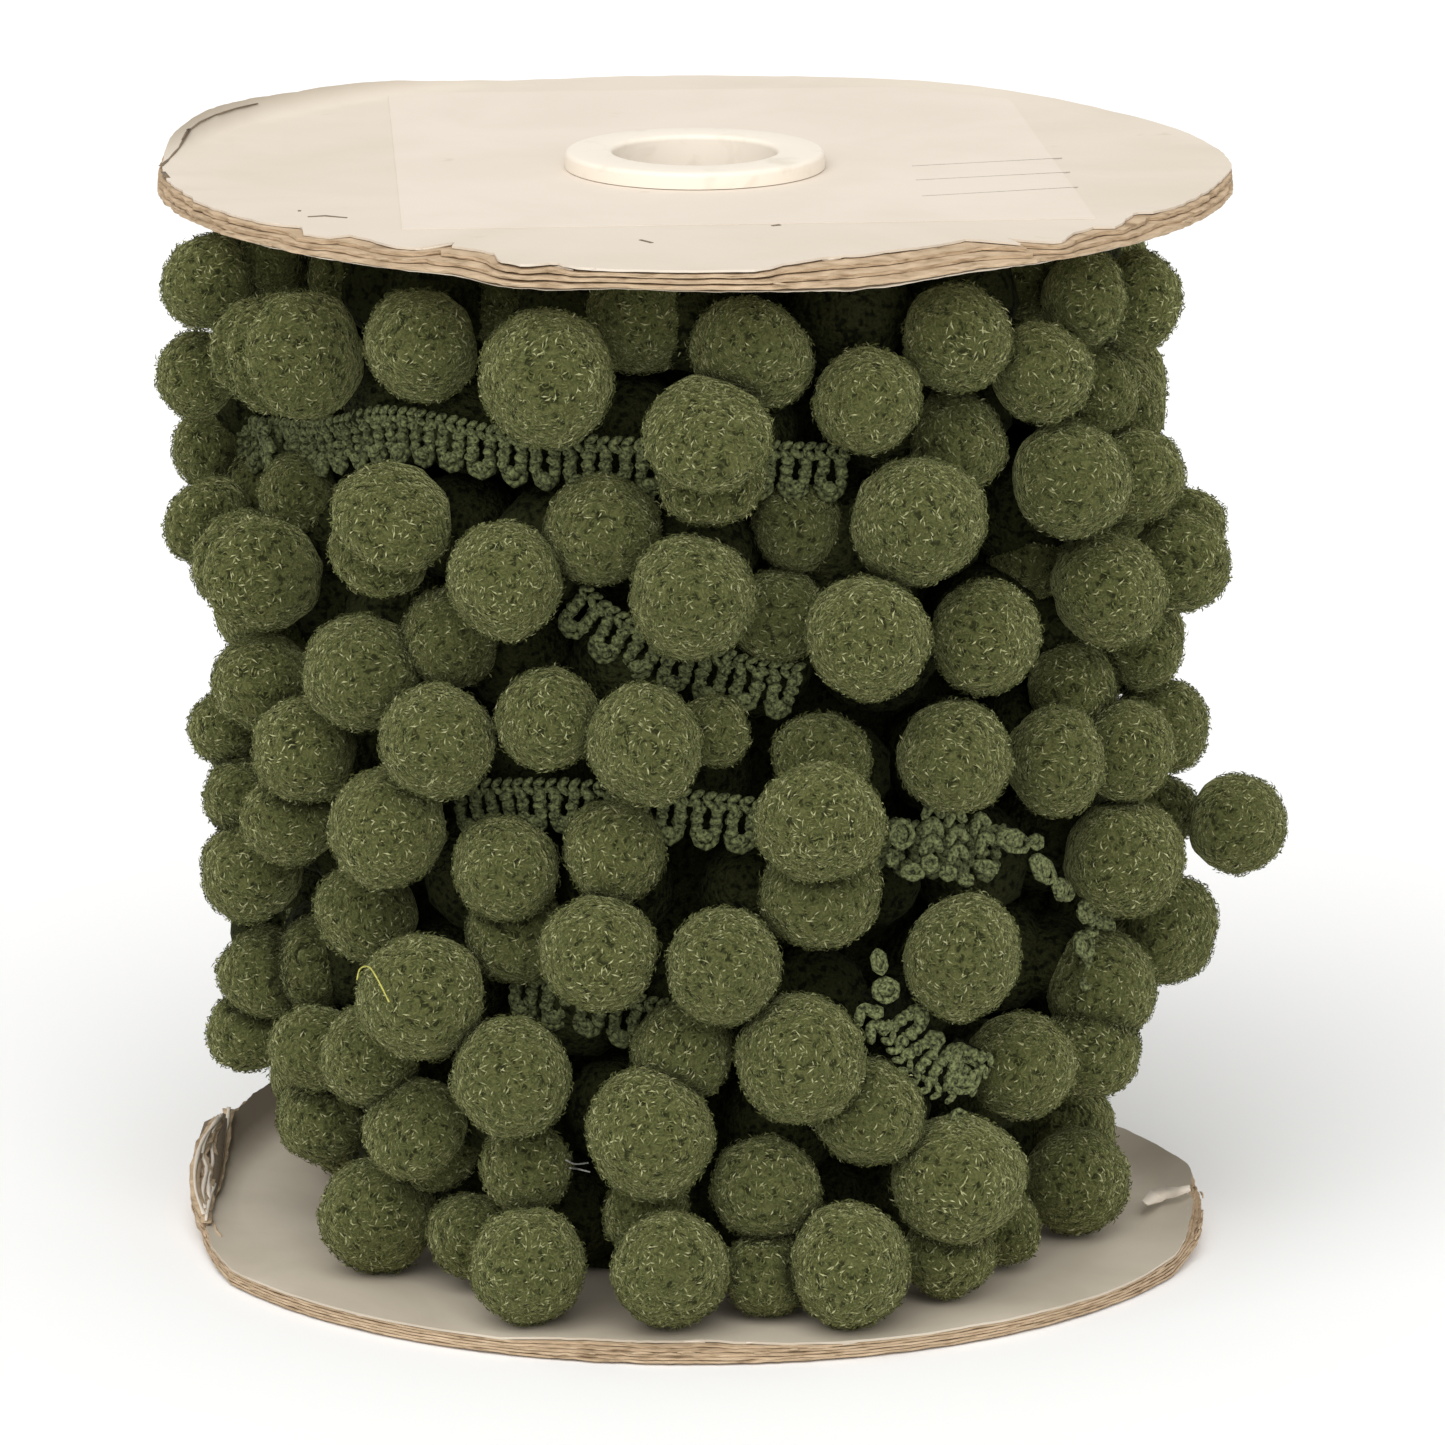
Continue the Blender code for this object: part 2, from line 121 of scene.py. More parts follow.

# The turns below, which show dimly in the gaps, all in wool darkened as painted shade: courses
# of pompoms on a plain drum, the lowest drawn in at its foot, and more pompoms at both sides.
INNER_SUBDIVISIONS = 2
INNER_OUT = 66 * MM
INNER_STRAY = 3 * MM
INNER_BALLS = 17
INNER_COURSES = 9
INNER_BALL_R = 12 * MM
INNER_FOOT = 10 * MM
SIDE_OUT = 73 * MM
SIDE_BALLS = 5
SIDE_BALL_R = 8 * MM
SIDE_FIRST = 66
SIDE_STEP = 12
SIDE_STRAY = 4 * MM
SIDE_LOWEST = 58 * MM
DRUM_R = 55 * MM
DRUM_STEPS = 96

# Pile: the fibres' length and width, how far they rise from the surface and lean in it, in
# radians, the pits that they leave open, the number of them in each piece, how squarely a
# place may face the tube, and how deep inside a neighbour it stops.
FIBRE_LENGTH = 1.6 * MM
FIBRE_WIDTH = 0.3 * MM
FIBRE_RISE = (-0.15, 0.5)
FIBRE_LEAN = 0.7
PITS_PER_METRE = 640
FRONT_FIBRES = 73000
BACK_FIBRES = 60000
LAST_FIBRES = 2600
FACING_TUBE = 0.45
FACING_FADE = 3
PILE_INSIDE = 1.2 * MM

# Braid: its repeat, the bars and lobes of its loops, and the two cords twisted round each
# other in them.
REPEAT = 6.6 * MM
BRAID_WIDTH = 10 * MM
LOBE_START = -3.0 * MM
LOBE_OUT = 0.4 * MM
LOBE_STEPS = 7
BAR_TOP = 2.6 * MM
BAR_GAP = 1.75 * MM
BAR_OUT = 0.3 * MM
BAR_STEPS = 9
CORD_GAP = 0.55 * MM
CORD_FLAT = 0.9
CORD_R = 0.7 * MM
CORD_SIDES = 5
CORD_THICK = (0.86, 1.16)
KNOTS = 3
BRAID_STRAY = 0.55 * MM
STRAYS_PER_METRE = 330
BACKING_THICK = 0.5 * MM
BACKING_STEPS = 24
BRAID_POINTS = 12
PATH_SAMPLES = 120

# Stitches of the plaited edge, knots on the bars and fillings of the lobes: their sizes, and
# how far each strays along, up and out in millimetres, in radians, and in size.
STITCHES = 3
STITCH_SIDES = 6
STITCH_RINGS = 4
STITCH = Vector((2.9, 1.5, 1.5)) * MM
STITCH_ROWS = (4.3 * MM, 2.8 * MM)
STITCH_SLANT = math.radians(34)
STITCH_OUT = (0.6, 1.0)
STITCH_TURN = 0.15
STITCH_SIZE = (0.92, 1.1)
KNOT = Vector((1.3, 1.0, 0.94)) * MM
KNOT_ALONG = 0.3
KNOT_UP = 0.2
KNOT_OUT = (0.6, 0.95)
KNOT_TURN = 0.4
KNOT_SIZE = (0.88, 1.12)
LOBE_FILL = Vector((1.9, 0.85, 1.35)) * MM
LOBE_FILL_DOWN = 0.35 * MM

# Links and rings of the twisted stretches, and the leaf of yarn that fills a ring.
LINK = Vector((2.3, 1.1, 1.15)) * MM
LINK_STEP = 3.4 * MM
LINK_APART = 1.1 * MM
LINK_OUT = 0.4 * MM
LINK_SLANT = 0.55
RING_CORD_R = 0.62 * MM
RING_CORD_PIXELS = 3.2
RING_POINTS = 12
RING_SWAY = 0.8
RING_FILL_THICK = 0.8 * MM
RING_FILL_SUNK = 0.5 * MM
RING_FILL_SHARE = 0.85

# Flanges: points round them, where their plies part and at which shares of the way to the
# rim they have points, and the plies' thickness, gaps and unevenness.
FLANGE_STEPS = 420
PARTED_FROM = 85 * MM
PLY_SHARES = (0, 0.3, 0.55, 0.76, 0.88, 1)
PLY_SHARP = math.radians(35)
PAPER = 0.45 * MM
PLY_GAP = 0.14 * MM
PLY_WAVE = 0.14 * MM
PLY_PARTED = 0.3 * MM
OVERHANG = 0.3 * MM
UNDER_PAPER = 0.3 * MM
UNDER_PAPER_BACK = 1.4 * MM
RIM_FRAY = 0.3
RAGGED_AT = 3 * MM
CHART_FADE = 0.25

# How far up a bent facing rises before soiling and painted shade darken it fully, left and right.
SOIL_AND_SHADE_LEFT = 3.6 * MM
SOIL_AND_SHADE_RIGHT = 14 * MM

# The bare label, the lines on it and the cracks, which all lie on the upper facing.
LABEL_BACK = 2.5 * MM
LABEL_STEPS = 96
LABEL_UNDER = 2 * MM
LABEL_LOW = 0.02 * MM
LABEL_HIGH = 0.14 * MM
RULE_UP = 0.15 * MM
RULE_WIDE = 0.3 * MM
RULE_THICK = 0.04 * MM
CRACK_BACK = 0.8 * MM
CRACK_UP = 0.03 * MM
CRACK_WIDE = (0.5, 0.95)
CRACK_THICK = 0.12 * MM

# Collar: the tube's wall round its sleeve, its soft edge, and the steps of its mesh.
TUBE_WALL = 3 * MM
COLLAR_SOFT = 0.9 * MM
COLLAR_SOFT_STEPS = 4
COLLAR_STEPS = 120
COLLAR_SHARP = math.radians(50)

# A pompom seen in the photograph: the pixel of its centre, its width in pixels, and how
# far its centre is from the reel's axis in millimetres.
Ball = namedtuple("Ball", "across down wide out")

# A pompom in its place: centre, radius, the way it is pressed flat, and what that leaves.
Pompom = namedtuple("Pompom", "centre radius press share")

# The pompoms of each piece, course by course from the top of the reel downwards.
SEEN = {
    "upper": (
        # Under the flange.
        Ball(212, 281, 104, 95), Ball(268, 262, 100, 88), Ball(352, 268, 112, 82),
        Ball(502, 286, 118, 74), Ball(643, 314, 122, 78), Ball(752, 352, 128, 80),
        Ball(860, 288, 118, 72), Ball(957, 338, 112, 84), Ball(1022, 272, 104, 80),
        Ball(1084, 297, 106, 88), Ball(1138, 300, 104, 92),
        # Second course.
        Ball(197, 374, 88, 96), Ball(254, 350, 112, 92), Ball(277, 354, 122, 91),
        Ball(306, 355, 134, 92), Ball(422, 345, 114, 84), Ball(547, 378, 137, 90),
        Ball(707, 434, 140, 92), Ball(868, 400, 114, 86), Ball(955, 442, 104, 76),
        Ball(1040, 372, 112, 88), Ball(1094, 390, 92, 84), Ball(1122, 414, 84, 84),
        # Third course.
        Ball(212, 450, 84, 90), Ball(208, 520, 98, 94), Ball(298, 495, 88, 80),
        Ball(245, 560, 112, 90), Ball(263, 574, 120, 92), Ball(393, 516, 124, 90),
        Ball(379, 554, 106, 86), Ball(602, 528, 116, 80), Ball(712, 480, 112, 84),
        Ball(797, 527, 92, 72), Ball(918, 520, 138, 90), Ball(1072, 480, 120, 90),
        Ball(1133, 476, 110, 90), Ball(1186, 527, 88, 94), Ball(1181, 560, 106, 96),
    ),
    "middle": (
        # Fourth course.
        Ball(288, 640, 92, 80), Ball(505, 580, 119, 90), Ball(450, 638, 104, 78),
        Ball(692, 598, 130, 92), Ball(778, 616, 98, 74), Ball(868, 638, 129, 93),
        Ball(985, 637, 114, 88), Ball(1030, 556, 92, 70), Ball(1108, 590, 121, 90),
        Ball(1140, 648, 92, 88), Ball(1074, 690, 98, 80),
        # Fifth course.
        Ball(262, 682, 102, 90), Ball(227, 728, 78, 92), Ball(363, 672, 122, 88),
        Ball(305, 750, 114, 90), Ball(437, 740, 122, 91), Ball(548, 717, 112, 86),
        Ball(645, 744, 126, 92), Ball(714, 730, 80, 82), Ball(822, 757, 104, 80),
        Ball(954, 757, 121, 90), Ball(1056, 760, 112, 86), Ball(1124, 750, 108, 90),
        Ball(1160, 726, 102, 90),
        # Sixth course.
        Ball(244, 796, 86, 90), Ball(292, 816, 106, 88), Ball(252, 871, 110, 90),
        Ball(387, 828, 122, 90), Ball(506, 868, 112, 84), Ball(615, 852, 112, 80),
        Ball(820, 822, 134, 94), Ball(1124, 857, 127, 90), Ball(1158, 815, 84, 88),
        # The loose pompom that stands out at the right.
        Ball(1237, 824, 104, 104),
    ),
    "lower": (
        # Seventh course.
        Ball(265, 972, 100, 86), Ball(249, 1028, 88, 88), Ball(315, 964, 92, 78),
        Ball(366, 912, 104, 80), Ball(421, 997, 137, 92), Ball(516, 930, 104, 76),
        Ball(598, 953, 120, 89), Ball(724, 967, 122, 90), Ball(820, 892, 126, 84),
        Ball(962, 957, 128, 92), Ball(1100, 986, 116, 84), Ball(1170, 930, 110, 92),
        # Eighth course.
        Ball(313, 1048, 96, 84), Ball(370, 1056, 108, 84), Ball(323, 1117, 96, 80),
        Ball(415, 1128, 108, 84), Ball(512, 1076, 123, 90), Ball(683, 1052, 108, 80),
        Ball(650, 1132, 131, 88), Ball(800, 1060, 131, 90), Ball(868, 1112, 118, 86),
        Ball(1020, 1066, 116, 84), Ball(1090, 1048, 102, 84),
        # On the lower flange.
        Ball(378, 1214, 119, 80), Ball(440, 1150, 92, 74), Ball(470, 1234, 92, 78),
        Ball(526, 1166, 98, 80), Ball(528, 1264, 120, 92), Ball(645, 1212, 92, 80),
        Ball(673, 1270, 126, 93), Ball(766, 1188, 110, 82), Ball(768, 1272, 92, 78),
        Ball(850, 1265, 128, 92), Ball(948, 1252, 96, 78), Ball(1003, 1228, 80, 78),
        Ball(1074, 1180, 114, 78),
    ),
}

# Deep ones that fill gaps between these, darkened as painted shade like the turns below, and
# the last one, on the braid's loose end.
DEEP_BALLS = (Ball(248, 405, 84, 74), Ball(262, 930, 70, 70), Ball(905, 1010, 90, 68))
TAIL_BALL = Ball(958, 1178, 136, 90)

# The stretches of braid that show between the pompoms: pixels down the middle of the
# braid, and its distance from the reel's axis in millimetres.
Stretch = namedtuple("Stretch", "out middle")
BRAIDS = (
    Stretch(78, ((232, 440), (320, 446), (400, 432), (520, 456), (640, 464), (860, 470))),
    Stretch(77, ((570, 600), (612, 634), (690, 668), (760, 684), (830, 694))),
    Stretch(78, ((455, 806), (560, 804), (660, 812), (770, 826), (905, 846), (1010, 852))),
    Stretch(74, ((282, 926), (320, 950), (362, 990))),
    Stretch(75, ((510, 984), (570, 1002), (640, 1020), (740, 1030))),
)
TAIL = Stretch(88, ((974, 1046), (958, 1074), (928, 1066), (906, 1032), (892, 1004), (886, 982)))

# Loose loops where the braid is twisted over: runs of leaf-shaped links along the pixels of
# the middle, and rings of cord, each with its tilt in degrees.
Links = namedtuple("Links", "out middle")
LINKS = (
    Links(86, ((933, 800), (931, 826), (930, 852))),
    Links(86, ((953, 806), (955, 832), (957, 862))),
    Links(85, ((975, 812), (980, 830), (986, 850))),
    Links(86, ((1078, 908), (1094, 914), (1112, 920))),
    Links(85, ((1074, 938), (1086, 950), (1090, 966))),
    Links(89, ((860, 1004), (868, 1020), (880, 1036))),
    Links(83, ((234, 428), (250, 452), (252, 482), (246, 500))),
    Links(83, ((262, 424), (272, 446), (270, 472))),
    Links(76, ((300, 930), (318, 950), (334, 976))),
)
Ring = namedtuple("Ring", "across down wide high tilt out")
RINGS = (
    Ring(902, 834, 28, 32, 0, 86),
    Ring(913, 872, 26, 19, 0, 87),
    Ring(893, 857, 15, 22, 20, 85),
    Ring(930, 863, 18, 20, 0, 87),
    Ring(948, 873, 20, 18, 10, 87),
    Ring(966, 880, 18, 15, 0, 87),
    Ring(986, 867, 28, 16, 10, 86),
    Ring(1013, 841, 38, 25, 22, 86),
    Ring(1036, 842, 18, 18, 0, 85),
    Ring(1043, 869, 37, 22, 52, 87),
    Ring(1063, 890, 28, 20, 45, 87),
    Ring(1085, 946, 22, 26, 0, 87),
    Ring(1092, 931, 15, 13, 0, 86),
    Ring(1086, 984, 15, 14, 0, 86),
    Ring(879, 962, 18, 28, -12, 89),
    Ring(886, 990, 30, 28, 0, 90),
    Ring(876, 1012, 17, 15, 0, 90),
    Ring(964, 1076, 36, 40, 20, 89),
    Ring(959, 1117, 18, 19, 0, 90),
    Ring(243, 452, 20, 44, 12, 82),
    Ring(262, 470, 16, 40, -8, 82),
    Ring(226, 424, 18, 26, 20, 84),
    Ring(240, 492, 18, 22, 0, 84),
)

# Stray fibres caught on a pompom: the pompom, and the pixels along the fibre.
Stray = namedtuple("Stray", "ball middle")
LEFT_BALL = Ball(421, 997, 137, 92)
LOW_BALL = Ball(526, 1166, 98, 80)
YELLOW_STRAYS = (
    Stray(LEFT_BALL, ((357, 980), (360, 969), (369, 967), (378, 980), (389, 1002))),
)
WHITE_STRAYS = (
    Stray(LOW_BALL, ((566, 1160), (575, 1164), (588, 1163))),
    Stray(LOW_BALL, ((570, 1168), (578, 1169), (590, 1172))),
)
STRAY_POINTS = 14
STRAY_R = 0.16 * MM
STRAY_SIDES = 4

# The back of the reel, which the photograph doesn't show, wound like its front: bearings from
# the front, the pompoms of a course, how far they stray, and how far those at the sides and
# at the foot are drawn in.
BACK_COURSES = 8
BACK_FIRST = math.radians(87)
BACK_LAST = math.radians(273)
BACK_BALLS = 11
BACK_OUT = 86 * MM
BACK_BALL_R = 11.6 * MM
BACK_SIZE = (0.9, 1.08)
BACK_STRAY = 0.12
BACK_RISE = 5 * MM
BACK_SINK = 4 * MM
BACK_DRAWN = 7 * MM
BACK_DRAWN_POWER = 6
BACK_FOOT = (12 * MM, 5 * MM)
BACK_LOWEST = 17 * MM
BACK_HIGHEST = 186 * MM
BACK_BRAID_COURSES = (2, 4, 6)
BACK_BRAID_OUT = 79 * MM

# The torn rims. Each is a row of pixels along an edge of the photograph: where the paper
# facing ends, and the lowest line of the board under it.
TOP_PAPER = (
    (164, 174), (182, 190), (204, 204), (236, 215), (268, 223), (301, 226), (304, 233),
    (331, 237), (347, 234), (370, 239), (392, 246), (417, 248), (452, 246), (459, 242),
    (478, 249), (494, 253), (499, 260), (523, 265), (554, 262), (580, 269), (606, 271),
    (690, 273), (756, 273), (771, 267), (783, 263), (825, 257), (872, 253), (887, 251),
    (925, 246), (968, 239), (1006, 238), (1030, 244), (1060, 242), (1072, 233), (1095, 226),
    (1114, 227), (1134, 212), (1153, 212), (1180, 204), (1219, 181), (1232, 165),
)
TOP_LOWEST = (
    (154, 182), (169, 195), (191, 211), (213, 227), (248, 238), (299, 247), (363, 257),
    (417, 265), (440, 273), (472, 282), (507, 289), (554, 292), (612, 290), (690, 293),
    (756, 293), (856, 292), (910, 285), (968, 274), (1026, 266), (1064, 258), (1103, 246),
    (1138, 238), (1172, 221), (1203, 204), (1232, 177),
)
BOTTOM_PAPER = (
    (229, 1145), (222, 1165), (213, 1185), (206, 1215), (212, 1244), (230, 1273), (253, 1293),
    (280, 1310), (313, 1326), (352, 1338), (392, 1333), (432, 1331), (455, 1336), (485, 1344),
    (528, 1337), (595, 1338), (644, 1341), (700, 1340), (757, 1342), (824, 1342), (851, 1342),
    (878, 1339), (924, 1341), (958, 1347), (1018, 1344), (1052, 1337), (1092, 1324),
    (1125, 1304), (1155, 1280), (1175, 1254), (1189, 1220), (1190, 1190),
)
BOTTOM_LOWEST = (
    (194, 1165), (192, 1190), (195, 1212), (203, 1247), (223, 1276), (246, 1300), (280, 1321),
    (313, 1335), (346, 1345), (379, 1352), (412, 1355), (445, 1360), (512, 1365), (595, 1368),
    (700, 1370), (790, 1369), (857, 1364), (924, 1362), (975, 1357), (1025, 1351),
    (1075, 1337), (1108, 1324), (1142, 1304), (1169, 1280), (1189, 1257), (1197, 1230),
    (1197, 1204),
)

# Where a flange's rim is bent up: the bearing from the front in degrees, how far in
# millimetres, the half width in degrees, and how wide the bent strip is in millimetres.
Bend = namedtuple("Bend", "bearing bent half wide")
TOP_BENDS = (Bend(-110, 3.6, 24, 3.6), Bend(-134, 3.0, 30, 3.6), Bend(150, 0.8, 24, 8))
BOTTOM_BENDS = (Bend(-116, 8.4, 60, 9), Bend(92, 4.0, 44, 8.5))
BEND_POWER = 1.3

# How far the board reaches, by the bearing in degrees, in millimetres. The lower flange is
# drawn in where it is bent, and its right end is folded off along a straight line.
Board = namedtuple("Board", "name base plies reach bends")
BOTTOM_REACH = (
    (-145, 101.3), (-135, 100), (-120, 97.3), (-105, 97), (-90, 97.2), (-75, 97.7), (-67, 99.5),
    (-60, 101.3), (70, 101.3), (80, 99), (88, 97), (92, 96.1), (98, 93.6), (104, 92.3),
    (110, 91.8), (116, 92.2), (125, 94.9), (130, 97.6), (136, 101.3),
)
TOP_BOARD = Board("flange_top", REEL_HEIGHT - BOARD, 4, ((-180, 101.5), (180, 101.5)), TOP_BENDS)
BOTTOM_BOARD = Board("flange_bottom", 0, 5, BOTTOM_REACH, BOTTOM_BENDS)

# Cracks and scuffs in the upper facing, the first four along its crease at the back left,
# whose dark line is painted shade, and ruled lines on its bare label: pixels.
CRACKS = (
    ((224, 113), (216, 121), (208, 129)), ((208, 129), (199, 136), (190, 141)),
    ((190, 141), (179, 150), (167, 161)), ((167, 161), (159, 166)),
    ((172, 135), (177, 140), (181, 147)),
    ((163, 172), (168, 178)), ((308, 217), (325, 216), (347, 218)), ((298, 211), (301, 211)),
    ((498, 160), (503, 161)), ((772, 226), (780, 225)), ((640, 240), (652, 243)),
)
LABEL = ((388, 94), (1000, 86), (1096, 219), (402, 230))
RULES = (((912, 166), (1062, 158)), ((916, 180), (1070, 172)), ((922, 196), (1078, 187)))

# A place on torn board: its pixel, its height above the board's face and the width of the
# torn strip there, in millimetres.
Torn = namedtuple("Torn", "across down up wide")

# The flap of paper torn loose at the lower flange's right end.
FLAP = (
    Torn(1190, 1188, 2.6, 1.2), Torn(1178, 1192, 2.6, 2.0), Torn(1166, 1193, 2.4, 2.6),
    Torn(1156, 1196, 2.4, 3.2), Torn(1145, 1203, 3.2, 1.4),
)

# The lower flange's left end, where its plies are torn open: the gap between them, dark with
# painted shade, and the pixels along the edges that curl over it. A kraft ribbon and a narrower
# paper one lie along each edge, given by height, widths and kind.
TORN_GAP = (
    Torn(217, 1126, 0.3, 1.0), Torn(212, 1143, 0.3, 4.4), Torn(208, 1164, 0.3, 5.8),
    Torn(206, 1188, 0.3, 4.6), Torn(206, 1208, 0.3, 2.6), Torn(207, 1226, 0.3, 0.8),
)
TORN_EDGES = (
    ((222, 1134), (228, 1146), (223, 1158), (220, 1172), (214, 1191), (208, 1212), (206, 1226)),
    ((212, 1127), (200, 1145), (196, 1158), (194, 1178), (195, 1198), (201, 1219)),
    ((208, 1143), (202, 1162), (207, 1175), (203, 1194), (205, 1214)),
    ((216, 1137), (211, 1153), (213, 1168), (209, 1183), (209, 1203)),
)
TORN_POINTS = 16
TORN_THICK = 0.35 * MM
IN_PAPER, IN_BOARD = 0, 1
TORN_RIBBONS = ((0.7, (1.6, 2.6), IN_BOARD), (1.1, (0.4, 0.9), IN_PAPER))

# Shreds of ply along the same end: their bearings in degrees and how far their ends stray,
# their distances from the axis, heights, sway and width in millimetres.
SHREDS = 8
SHRED_POINTS = 18
SHRED_BEARINGS = (-108, -68)
SHRED_STRAY = 22
SHRED_OUT = (94.6, 97.0)
SHRED_UP = (3.2, 1.2)
SHRED_SWAY = 0.8
SHRED_WIDE = (2.0, 1.3)
SHRED_THICK = 0.3 * MM

# Frays that lie along the torn rims: bearings in degrees, and lengths, widths and how far
# below the board's face they are, in millimetres.
FRAYS = 64
FRAY_BEARINGS = (-75, 90)
FRAY_LENGTH = (1.5, 5)
FRAY_WIDTHS = (0.15, 0.35, 0.4, 0.35, 0.15)
FRAY_CURL = 0.4 * MM
FRAY_BACK = 0.35 * MM
FRAYS_IN_PAPER = 0.4
PAPER_FRAY_DOWN = (0.1, 0.5)
BOARD_FRAY_DOWN = (0.8, 2.6)


def feed(tree, socket, value):
    """Gives the socket a value, or the socket that feeds it."""
    if isinstance(value, bpy.types.NodeSocket):
        tree.links.new(value, socket)
    else:
        socket.default_value = value


def add(tree, kind, feeds=(), **settings):
    """A new node. Its sockets are named, or numbered where names repeat."""
    made = tree.nodes.new(kind)
    for name, value in settings.items():
        setattr(made, name, value)
    for key, value in dict(feeds).items():
        if isinstance(key, str):
            socket = next(s for s in made.inputs if s.enabled and s.name == key)
        else:
            socket = made.inputs[key]
        feed(tree, socket, value)
    return made


def result(made, name=None):
    """The node's output of that name, or its first one that is in use."""
    return next(s for s in made.outputs if s.enabled and name in (None, s.name))


def arithmetic(tree, operation, first, second=0.0):
    return result(add(tree, "ShaderNodeMath", {0: first, 1: second}, operation=operation))


def new_finish(name, colour, roughness, sheen=0.0, gloss=0.5):
    made = bpy.data.materials.new(name)
    made.use_nodes = True
    shader = made.node_tree.nodes["Principled BSDF"]
    shader.inputs["Base Color"].default_value = (*colour, 1)
    shader.inputs["Roughness"].default_value = roughness
    shader.inputs["Specular IOR Level"].default_value = gloss
    shader.inputs["Sheen Weight"].default_value = sheen
    shader.inputs["Sheen Roughness"].default_value = 0.4
    shader.inputs["Sheen Tint"].default_value = (0.60, 0.62, 0.29, 1)
    return made, made.node_tree, shader


def paint(tree, shader, colour):
    feed(tree, shader.inputs["Base Color"], colour)


def object_place(tree):
    return result(add(tree, "ShaderNodeTexCoord"), "Object")


def speckle(tree, place, scale, detail=2.0, distortion=0.0):
    feeds = {"Vector": place, "Scale": scale, "Detail": detail, "Distortion": distortion}
    return result(add(tree, "ShaderNodeTexNoise", feeds))


def attribute(tree, name, output="Fac"):
    return result(add(tree, "ShaderNodeAttribute", attribute_name=name), output)


def ramp(tree, share, stops):
    """A colour for the share, from (position, colour) stops."""
    made = add(tree, "ShaderNodeValToRGB", {"Fac": share})
    elements = made.color_ramp.elements
    for i, (position, colour) in enumerate(stops):
        element = elements[i] if i < 2 else elements.new(position)
        element.position = position
        element.color = (*colour, 1)
    return result(made)


def blended(tree, share, first, second, how="MIX"):
    """Two colours mixed by the share of the second."""
    made = add(tree, "ShaderNodeMix", data_type="RGBA", blend_type=how)
    colour_sockets = [s for s in made.inputs if s.enabled and s.type == "RGBA"]
    factor = next(s for s in made.inputs if s.enabled and s.type == "VALUE")
    feed(tree, factor, share)
    feed(tree, colour_sockets[0], first)
    feed(tree, colour_sockets[1], second)
    return next(s for s in made.outputs if s.enabled and s.type == "RGBA")


def raise_bumps(tree, shader, height, distance, strength=1.0):
    feeds = {"Height": height, "Distance": distance, "Strength": strength}
    feed(tree, shader.inputs["Normal"], result(add(tree, "ShaderNodeBump", feeds)))


def shaded(tree):
    """Painted shade: darker where another pompom lies against this one."""
    return ramp(tree, attribute(tree, "near"), ((0.0, (0.28, 0.28, 0.27)), (0.95, (1, 1, 1))))


def pile_finish():
    """Wool fibres: painted shade at the root, in the creases and where another pompom lies
    close, a few fibres painted pale as highlights, each pompom a little different.
    """
    made, tree, shader = new_finish("olive wool pile", (0.13, 0.15, 0.06), 0.9, 0.42, 0.12)
    # The palest few fibres are painted highlights.
    wool = ramp(tree, attribute(tree, "tone"), (
        (0.0, (0.078, 0.087, 0.028)),
        (0.5, (0.112, 0.121, 0.040)),
        (0.82, (0.150, 0.158, 0.057)),
        (0.88, (0.285, 0.292, 0.138)),
        (1.0, (0.420, 0.420, 0.230)),
    ))
    dye_and_shade = ramp(tree, attribute(tree, "dye"), ((0.0, (0.86, 0.87, 0.86)), (1.0, (1, 1, 0.97))))
    # Painted shade in the creases, where the pile faces the tube or runs into another pompom.
    crease_shade = ramp(tree, attribute(tree, "open"), ((0.0, (0.35, 0.35, 0.35)), (0.8, (1, 1, 1))))
    dye_and_shade = blended(tree, 1.0, dye_and_shade, crease_shade, "MULTIPLY")
    dye_and_shade = blended(tree, 1.0, dye_and_shade, shaded(tree), "MULTIPLY")
    # Painted shade at the root of each fibre.
    root = ramp(tree, attribute(tree, "tip"), ((0.0, (0.6, 0.6, 0.6)), (0.5, (1, 1, 1))))
    shade = blended(tree, 1.0, wool, dye_and_shade, "MULTIPLY")
    paint(tree, shader, blended(tree, 1.0, shade, root, "MULTIPLY"))
    return made


def wool_finish(name, dark, light, sheen):
    """The matted wool under the pile, with painted shade in the pits that the pile leaves open and
    where another pompom lies close.
    """
    made, tree, shader = new_finish(name, light, 0.95, sheen, 0.08)
    place = object_place(tree)
    pits = speckle(tree, place, PITS_PER_METRE, 1)
    # The dark colour in the pits is painted shade.
    matted = ramp(tree, pits, ((0.35, dark), (0.48, light)))
    fine = speckle(tree, place, 1300, 2)
    grain = ramp(tree, fine, ((0.3, (0.7, 0.7, 0.7)), (0.65, (1, 1, 1))))
    # Painted shade where another pompom lies close.
    matted = blended(tree, 1.0, matted, shaded(tree), "MULTIPLY")
    paint(tree, shader, blended(tree, 1.0, matted, grain, "MULTIPLY"))
    raise_bumps(tree, shader, arithmetic(tree, "ADD", pits, fine), 1.3 * MM)
    return made


def yarn_finish(name, dark, light):
    """Soft plied yarn of the braid's stitches."""
    made, tree, shader = new_finish(name, light, 0.85, 0.05, 0.2)
    fine = speckle(tree, object_place(tree), 1500, 3)
    paint(tree, shader, ramp(tree, fine, ((0.32, dark), (0.68, light))))
    raise_bumps(tree, shader, fine, 0.9 * MM)
    return made


